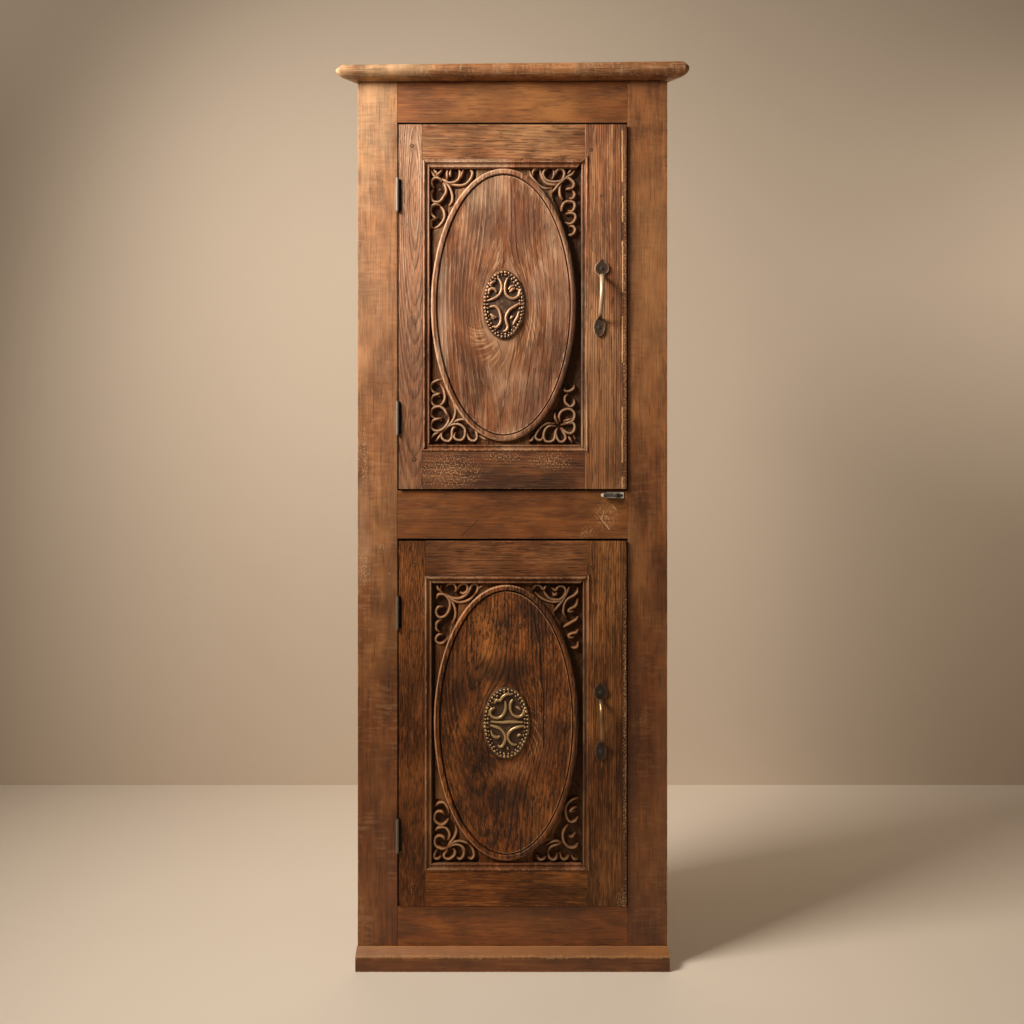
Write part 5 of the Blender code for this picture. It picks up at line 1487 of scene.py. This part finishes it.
# Inset, bead radius and number of beads.
BEAD_ROWS = ((0.0046, 0.0029, 46), (0.0098, 0.0026, 38))
for order, door in enumerate(door_looks):
    low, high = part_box(f"{door}_rosette")
    centre = (low + high) / 2
    wide, tall = (high.x - low.x) / 2, (high.z - low.z) / 2
    seat = high.y
    rubbed_bronze, rough, shine = bronze_looks[door]
    bronze = aged_metal(
        f"{door}_bronze", stain(76, 49, 29), rubbed_bronze, seat - 0.0016, seat - 0.0064, (0.6, rough), shine
    )
    plate = bmesh.new()
    rings = []
    for share, rise in PLATE_STEPS:
        ring = []
        for k in range(PLATE_SIDES):
            angle = 2 * math.pi * k / PLATE_SIDES
            bulge = 1 + 0.008 * noise.noise((3 * math.cos(angle), 3 * math.sin(angle), 6.0 + order))
            across, up = share * math.cos(angle), share * math.sin(angle)
            arms = math.sqrt(abs(across)) + math.sqrt(abs(up))
            star = STAR_RISE * min(1.0, max(0.0, (1.02 - arms) / 0.12)) if share < 0.75 else 0.0
            x, z = centre.x + wide * across * bulge, centre.z + tall * up * bulge
            ring.append(plate.verts.new((x, seat - (rise + star) / 1000, z)))
        rings.append(ring)
    skin(plate, rings)
    fit(make_piece(f"{door}_rosette_plate", plate, bronze), door, "bronze", f"{door}_rosette")

    for row, (inset, radius, count) in enumerate(BEAD_ROWS):
        bead_centre = (centre.x, seat - 0.0034 + 0.0006 * row, centre.z)
        values = {
            "Half Width": wide - inset, "Half Height": tall - inset, "Bead Radius": radius, "Count": count,
            "Seed": 5 + 2 * order + row, "Middle": bead_centre, "Finish": bronze,
        }
        start = bpy.data.meshes.new(f"{door}_bead_start_{row}")
        beads = grow(f"{door}_rosette_beads_{row}", start, bead_tree, values)
        fit(beads, door, "bronze")
    lines = []
    for strand in rosette_scrolls[door]:
        lines.append([(centre.x + wide * across, seat - 0.0012, centre.z + tall * up) for across, up in strand])
    values = {"Strand Width": 0.0068, "Strand Height": 0.0056, "Step": 0.0012, "Finish": bronze}
    scrolls = grow(f"{door}_rosette_scrolls", drawing(f"{door}_rosette_lines", lines), strand_tree, values)
    fit(scrolls, door, "bronze")


# Pull handles: one brass casting a door, an arched bar that spreads into a leaf at each end. The leaves
# are dark with age and each takes a screw; the bar is rubbed to bright brass by hands.

# Millimetres from the end of the handle, and share of the leaf's half width.
UPPER_LEAF = (
    (0, 0.18), (1.5, 0.30), (4, 0.46), (7, 0.68), (10, 0.86), (14, 0.97), (18, 1.0), (22, 0.98), (26, 0.80),
    (29, 0.50), (32, 0.36),
)
LOWER_LEAF = (
    (0, 0.10), (2, 0.34), (6, 0.62), (12, 0.78), (20, 0.86), (28, 0.76), (33, 0.50), (37, 0.32),
)
LEAF_HALF = 0.0145
LEAF_RISE = 0.0021
LEAF_THICK = 0.0019
BAR_STEPS = 32
BAR_SIDES = 20
SCREW_INSET = 0.018
SCREW_SEAT = 0.0030
# Old brass, rubbed brass, the roughness of each, and the shine where it is rubbed.
handle_looks = {
    "upper_door": (stain(72, 50, 33), stain(200, 168, 134), (0.48, 0.42), 0.3),
    "lower_door": (stain(50, 38, 29), stain(150, 112, 76), (0.36, 0.32), 0.7),
}
handle_spots = {}
for door in door_looks:
    low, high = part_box(f"{door}_handle")
    middle_x, middle_z = (low.x + high.x) / 2, (low.z + high.z) / 2
    reach = (high.z - low.z) / 2
    lean = 0.0034 if door == "upper_door" else 0.0
    bar_top, bar_foot = reach - UPPER_LEAF[-1][0] / 1000, -reach + LOWER_LEAF[-1][0] / 1000
    arch = high.y - low.y - 0.0066
    stations = []
    for along, share in UPPER_LEAF:
        stations.append((reach - along / 1000, LEAF_RISE, share * LEAF_HALF, LEAF_THICK, 0.0))
    for k in range(1, BAR_STEPS):
        share = k / BAR_STEPS
        angle = math.pi * share
        swell = min(1.0, 3.0 * math.sin(angle))
        half_wide = 0.0050 - 0.0012 * share
        half_thick = LEAF_THICK + 0.0022 * swell
        along = (bar_top + bar_foot) / 2 + (bar_top - bar_foot) / 2 * math.cos(angle)
        stations.append((along, LEAF_RISE + arch * math.sin(angle), half_wide, half_thick, math.sin(angle)))
    for along, share in reversed(LOWER_LEAF):
        stations.append((-reach + along / 1000, LEAF_RISE, share * LEAF_HALF, LEAF_THICK, 0.0))
    bar = bmesh.new()
    wear_and_highlight = bar.verts.layers.float.new("wear_and_highlight")
    rings = []
    for i, (along, rise, wide, thick, worn) in enumerate(stations):
        before, after = stations[max(i - 1, 0)], stations[min(i + 1, len(stations) - 1)]
        slope = Vector((after[0] - before[0], after[1] - before[1])).normalized()
        ring = []
        for k in range(BAR_SIDES):
            angle = 2 * math.pi * k / BAR_SIDES
            dish = 1.0 if worn else 0.35 + 0.65 * abs(math.cos(angle)) ** 3
            flatness = 1.0 if worn else 0.25
            lift = thick * math.copysign(abs(math.sin(angle)) ** flatness, math.sin(angle)) * dish
            x = middle_x + wide * math.cos(angle) + lean * along / reach
            place = Vector((x, high.y - rise + lift * slope.x, middle_z + along + lift * slope.y))
            dent = 0.00025 * noise.noise(place * 180)
            vert = bar.verts.new(place + Vector((0.0, dent, 0.0)))
            # The rims of the leaves are rubbed, and those on the left, towards the lamp, are made brighter as a
            # painted highlight.
            rim = abs(math.cos(angle)) ** 3 * (0.95 if math.cos(angle) < 0 else 0.6)
            vert[wear_and_highlight] = min(1.0, 1.3 * worn) if worn else rim
            ring.append(vert)
        rings.append(ring)
    skin(bar, rings)
    old_brass, rubbed_brass, rough, shine = handle_looks[door]
    handle_brass = aged_metal(f"{door}_handle_brass", old_brass, rubbed_brass, rough=rough, shine=shine)
    handle = make_piece(f"{door}_pull_handle", bar, handle_brass, 60)
    fit(handle, door, "bronze", f"{door}_handle")
    handle_spots[door] = [
        (middle_x + 0.8 * lean, high.y - SCREW_SEAT, middle_z + reach - SCREW_INSET),
        (middle_x - 0.8 * lean, high.y - SCREW_SEAT, middle_z - reach + SCREW_INSET),
    ]


# Screws: round slotted heads in dark steel, driven home and each left at its own turn: one in each leaf of
# the handles, two in the catch plate and three in each hinge leaf.

def slotted_head(name):
    """A domed head of radius one that faces +Z, with a slot across it along Y."""
    head = bmesh.new()
    columns = []
    for x in (-1.0, -0.85, -0.5, -0.14, -0.13, 0.13, 0.14, 0.5, 0.85, 1.0):
        sunk = abs(x) == 0.13
        chord = math.sqrt(max(0.0, 1.0 - x * x)) + 0.02
        column = []
        for share in (-1.0, -0.5, 0.5, 1.0):
            y = chord * share
            rise = 0.0 if sunk else 0.32 * max(0.0, 1 - 0.7 * (x * x + y * y)) + 0.05
            column.append(head.verts.new((x, y, rise)))
        columns.append(column)
    for near, far in zip(columns, columns[1:]):
        for i in range(3):
            head.faces.new((near[i], far[i], far[i + 1], near[i + 1]))
    rim = [edge for edge in head.edges if edge.is_boundary]
    grown = bmesh.ops.extrude_edge_only(head, edges=rim)["geom"]
    for item in grown:
        if isinstance(item, bmesh.types.BMVert):
            item.co.z = -0.4
    bmesh.ops.contextual_create(head, geom=[edge for edge in head.edges if edge.is_boundary])
    return add_object(name, to_mesh(name, head))


def build_setting_tree():
    """Set one pattern on each point, at that point's own size, facing its own way, each turned by chance."""
    inputs = {"Spots": "Geometry", "Pattern": "Object", "Seed": "Int", "Finish": "Material"}
    tree, given, out = new_group("set_on_points", inputs, {"Set": "Geometry"}, "GeometryNodeTree")
    model = put(tree, "GeometryNodeObjectInfo", {"Object": given["Pattern"]}).outputs["Geometry"]
    chance = {2: 0.0, 3: math.pi, "Seed": given["Seed"]}
    turn = put(tree, "FunctionNodeRandomValue", chance, data_type="FLOAT").outputs[1]
    spin = put(tree, "FunctionNodeEulerToRotation", {0: join(tree, 0.0, 0.0, turn)}).outputs[0]
    facing = named(tree, "facing", "FLOAT_VECTOR")
    aim = put(tree, "FunctionNodeAlignRotationToVector", {"Vector": facing}, axis="Z").outputs[0]
    aim = put(tree, "FunctionNodeRotateRotation", {0: aim, 1: spin}, rotation_space="LOCAL").outputs[0]
    parts = {"Points": given["Spots"], "Instance": model, "Rotation": aim, "Scale": named(tree, "girth")}
    close_steps(tree, out, step(tree, "InstanceOnPoints", parts), given["Finish"], smooth=False)
    return tree


setting_tree = build_setting_tree()


def spots(name, places):
    """A mesh of loose points, each with the way it faces and its size."""
    mesh = bpy.data.meshes.new(name)
    mesh.from_pydata([place for place, _, _ in places], [], [])
    facing = [value for _, way, _ in places for value in way]
    mesh.attributes.new("facing", "FLOAT_VECTOR", "POINT").data.foreach_set("vector", facing)
    mesh.attributes.new("girth", "FLOAT", "POINT").data.foreach_set("value", [size for _, _, size in places])
    return mesh


screw_head = slotted_head("screw_head_pattern")
screw_steel = aged_metal("screw_steel", stain(70, 62, 54), stain(176, 168, 156), rough=(0.5, 0.35))
HANDLE_SCREW, HINGE_SCREW, CATCH_SCREW = 0.0036, 0.0026, 0.0030
front = (0.0, -1.0, 0.0)
screw_places = {"carcass": [], "lower_door": [], "upper_door": []}
for door in door_looks:
    screw_places[door] += [(place, front, HANDLE_SCREW) for place in handle_spots[door]]
    for place in ("lower", "upper"):
        for leaf, body, way, face in (("door_leaf", door, -1.0, 0), ("frame_leaf", "carcass", 1.0, 1)):
            low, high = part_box(f"{door}_{place}_hinge_{leaf}")
            plate_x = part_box(f"{door}_hinge_stile")[0].x if face == 0 else inner_left
            for share in (0.17, 0.5, 0.83):
                spot = (plate_x, high.y - (0.006 if share == 0.5 else 0.012), low.z + (high.z - low.z) * share)
                screw_places[body].append((spot, (way, 0.0, 0.0), HINGE_SCREW))
low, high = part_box("catch_plate")
for share in (0.13, 0.87):
    spot = (low.x + (high.x - low.x) * share, high.y - 0.0015, (low.z + high.z) / 2)
    screw_places["carcass"].append((spot, front, CATCH_SCREW))
for order, (body, places) in enumerate(screw_places.items()):
    values = {"Pattern": screw_head, "Seed": 3 + order, "Finish": screw_steel}
    screws = grow(f"{body}_screws", spots(f"{body}_screw_spots", places), setting_tree, values)
    fit(screws, body, "steel")
bpy.data.objects.remove(screw_head)


# Pegs: round plugs of the doors' own timber, driven through the mortise joints to lock them. Their ends
# stand a little proud or sunk by now, and a ring of dirt has settled round each.

PEG_SIDES = 14
# Radius, rise and dirt.
PEG_STEPS = ((1.3, -0.5, 1.0), (1.3, 0.03, 0.3), (1.15, 0.05, 1.0), (0.95, 0.06, 0.9), (0.8, 0.10, 0.0))


def peg_end(name):
    """The end of a peg of radius one that faces +Z."""
    peg = bmesh.new()
    dirt_and_shade = peg.verts.layers.float.new("dirt_and_shade")
    rings = []
    for radius, rise, dirty in PEG_STEPS:
        ring = []
        for k in range(PEG_SIDES):
            angle = 2 * math.pi * k / PEG_SIDES
            vert = peg.verts.new((radius * math.cos(angle), radius * math.sin(angle), rise))
            vert[dirt_and_shade] = dirty
            ring.append(vert)
        rings.append(ring)
    skin(peg, rings)
    return add_object(name, to_mesh(name, peg))


peg_pattern = peg_end("peg_pattern")
# Place across and up, and radius in millimetres.
peg_spots = {
    "upper_door": (
        (-0.200, 1.640, 3.2), (0.157, 1.632, 3.0), (0.177, 1.540, 2.6), (-0.196, 1.015, 3.8),
        (-0.089, 0.986, 4.2),
    ),
    "lower_door": (
        (-0.196, 0.804, 3.6), (0.160, 0.800, 3.0), (-0.198, 0.162, 3.2), (0.170, 0.168, 3.2),
    ),
}
for order, (door, look) in enumerate(door_looks.items()):
    face_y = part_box(f"{door}_lock_stile")[0].y
    peg_look = {**tinted(look, 0.62, 0.58, 0.54), "Rings": 0.3, "Bump": 0.0002}
    peg_timber = timber(f"{door}_peg_timber", peg_look, (0, face_y, 0.5), pith=(0.3, 0.2), seed=order)
    places = [((x, face_y + 0.0001, z), front, size / 1000) for x, z, size in peg_spots[door]]
    values = {"Pattern": peg_pattern, "Seed": 8 + order, "Finish": peg_timber}
    fit(grow(f"{door}_pegs", spots(f"{door}_peg_spots", places), setting_tree, values), door, "door_wood")
bpy.data.objects.remove(peg_pattern)


# Hinges and catch: plain steel butt hinges let into the edges, and a small iron turn catch on the
# middle rail. They keep the shapes of their solids, under a skin of old steel made paler on its
# foremost parts, and the catch has painted glints on its ends and rims.

hinge_steels = {}
for door, bright in (("upper", stain(128, 116, 104)), ("lower", stain(108, 94, 80))):
    hinge_steels[door] = aged_metal(
        f"{door}_hinge_steel", stain(40, 32, 26), bright, -0.1235, -0.1266, (0.6, 0.5), 0.1
    )
catch_iron_and_glints = aged_metal("catch_iron_and_glints", stain(40, 33, 28), stain(96, 86, 76), -0.1165, -0.1262, (0.5, 0.4), 0.4)
tree = catch_iron_and_glints.node_tree
# Painted glints: bright bands across the two ends of the catch and along its upper and lower rims.
GRIP_X, TAIL_X, END_FADE = 0.1830, 0.2150, 0.0015
UPPER_RIM, LOWER_RIM, RIM_FADE = 0.9468, 0.9402, 0.0008
across, up = place_on(tree, "X"), place_on(tree, "Z")
ends = calc(
    tree, "ADD", fade(tree, across, GRIP_X, GRIP_X - END_FADE), fade(tree, across, TAIL_X, TAIL_X + END_FADE)
)
rims = calc(
    tree, "ADD", fade(tree, up, UPPER_RIM, UPPER_RIM + RIM_FADE),
    fade(tree, up, LOWER_RIM, LOWER_RIM - RIM_FADE),
)
bright = calc(tree, "MULTIPLY_ADD", rims, 0.45, ends)
lay_over(catch_iron_and_glints, calc(tree, "MINIMUM", bright, 0.9), stain(226, 216, 202))
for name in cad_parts:
    if "_hinge_" in name and not name.endswith("stile"):
        refinish(name, hinge_steels[name[:5]])
    if name.startswith("catch_"):
        refinish(name, catch_iron_and_glints)


# Studio: a warm pale floor and wall, one big soft lamp high on the left that rakes across the front, a
# weak fill, and two small lamps for the wall. The camera stands 1.8 m before the cabinet, at 0.91 m.

def plain_finish(name, colour, rough):
    """Matt paint, a trace deeper in soft clouds."""
    tree, shader, material = new_finish(name)
    cloud = fade(tree, speckle(tree, place_on(tree), (0.8, 0.8, 0.8), 3), 0.3, 0.7)
    deeper = tuple(0.96 * value for value in colour[:3]) + (1.0,)
    tree.links.new(blend(tree, cloud, colour, deeper), shader["Base Color"])
    shader["Roughness"].default_value = rough
    return material


def clear_from_behind(material):
    """Let a view from behind the wall look through it at the cabinet."""
    tree = material.node_tree
    behind = put(tree, "ShaderNodeNewGeometry").outputs["Backfacing"]
    clear = put(tree, "ShaderNodeBsdfTransparent").outputs[0]
    shade = tree.nodes["Principled BSDF"].outputs[0]
    both = put(tree, "ShaderNodeMixShader", {0: behind, 1: shade, 2: clear})
    tree.links.new(both.outputs[0], tree.nodes["Material Output"].inputs["Surface"])


def stage_sheet(name, corners, material):
    mesh = bpy.data.meshes.new(name)
    mesh.from_pydata(corners, [], [(0, 1, 2, 3)])
    mesh.materials.append(material)
    add_object(name, mesh)


WALL_Y = 1.085
WALL_HEIGHT = 5
STAGE = 6
floor_paint = plain_finish("floor_paint", stain(232, 216, 196), 0.6)
wall_paint = plain_finish("wall_paint", stain(212, 192, 169), 0.9)
clear_from_behind(wall_paint)
floor = [(-STAGE, -STAGE, 0), (STAGE, -STAGE, 0), (STAGE, STAGE, 0), (-STAGE, STAGE, 0)]
stage_sheet("studio_floor", floor, floor_paint)
wall = [(x, WALL_Y, z) for x, z in ((-STAGE, 0), (STAGE, 0), (STAGE, WALL_HEIGHT), (-STAGE, WALL_HEIGHT))]
stage_sheet("studio_wall", wall, wall_paint)


def add_lamp(name, place, aim, size, power, colour, spread=180):
    lamp = bpy.data.lights.new(name, "AREA")
    lamp.shape = "RECTANGLE"
    lamp.size, lamp.size_y = size
    lamp.energy = power
    lamp.color = colour
    lamp.spread = math.radians(spread)
    holder = add_object(name, lamp)
    holder.location = place
    holder.rotation_euler = (Vector(aim) - Vector(place)).to_track_quat("-Z", "Y").to_euler()


add_lamp("key_lamp", (-1.6, -1.0, 2.35), (0.0, -0.1, 1.35), (0.9, 0.9), 42, (1.0, 0.96, 0.90), 120)
add_lamp("fill_lamp", (0.6, -3.2, 2.6), (0.0, 0.0, 0.9), (2.5, 2.0), 4.2, (1.0, 0.90, 0.78))
add_lamp("backdrop_lamp", (-2.0, -0.3, 3.1), (-1.1, WALL_Y, 2.1), (0.8, 0.8), 4.6, (1.0, 0.96, 0.90), 130)
add_lamp("far_wall_lamp", (2.4, 0.2, 2.2), (1.6, WALL_Y, 1.1), (0.8, 0.8), 3.6, (1.0, 0.94, 0.86), 110)
world = bpy.data.worlds.new("studio_air")
world.use_nodes = True
air = world.node_tree.nodes["Background"].inputs
air["Color"].default_value = (1.0, 0.86, 0.70, 1.0)
air["Strength"].default_value = 0.075
bpy.context.scene.world = world
bpy.context.scene.view_settings.view_transform = "Standard"

lens = bpy.data.cameras.new("camera")
lens.sensor_width = 36.0
lens.lens = 31.64
camera = add_object("camera", lens)
camera.location = (-0.001, -1.915, 0.910)
camera.rotation_euler = (math.pi / 2, 0.0, 0.0)
bpy.context.scene.camera = camera
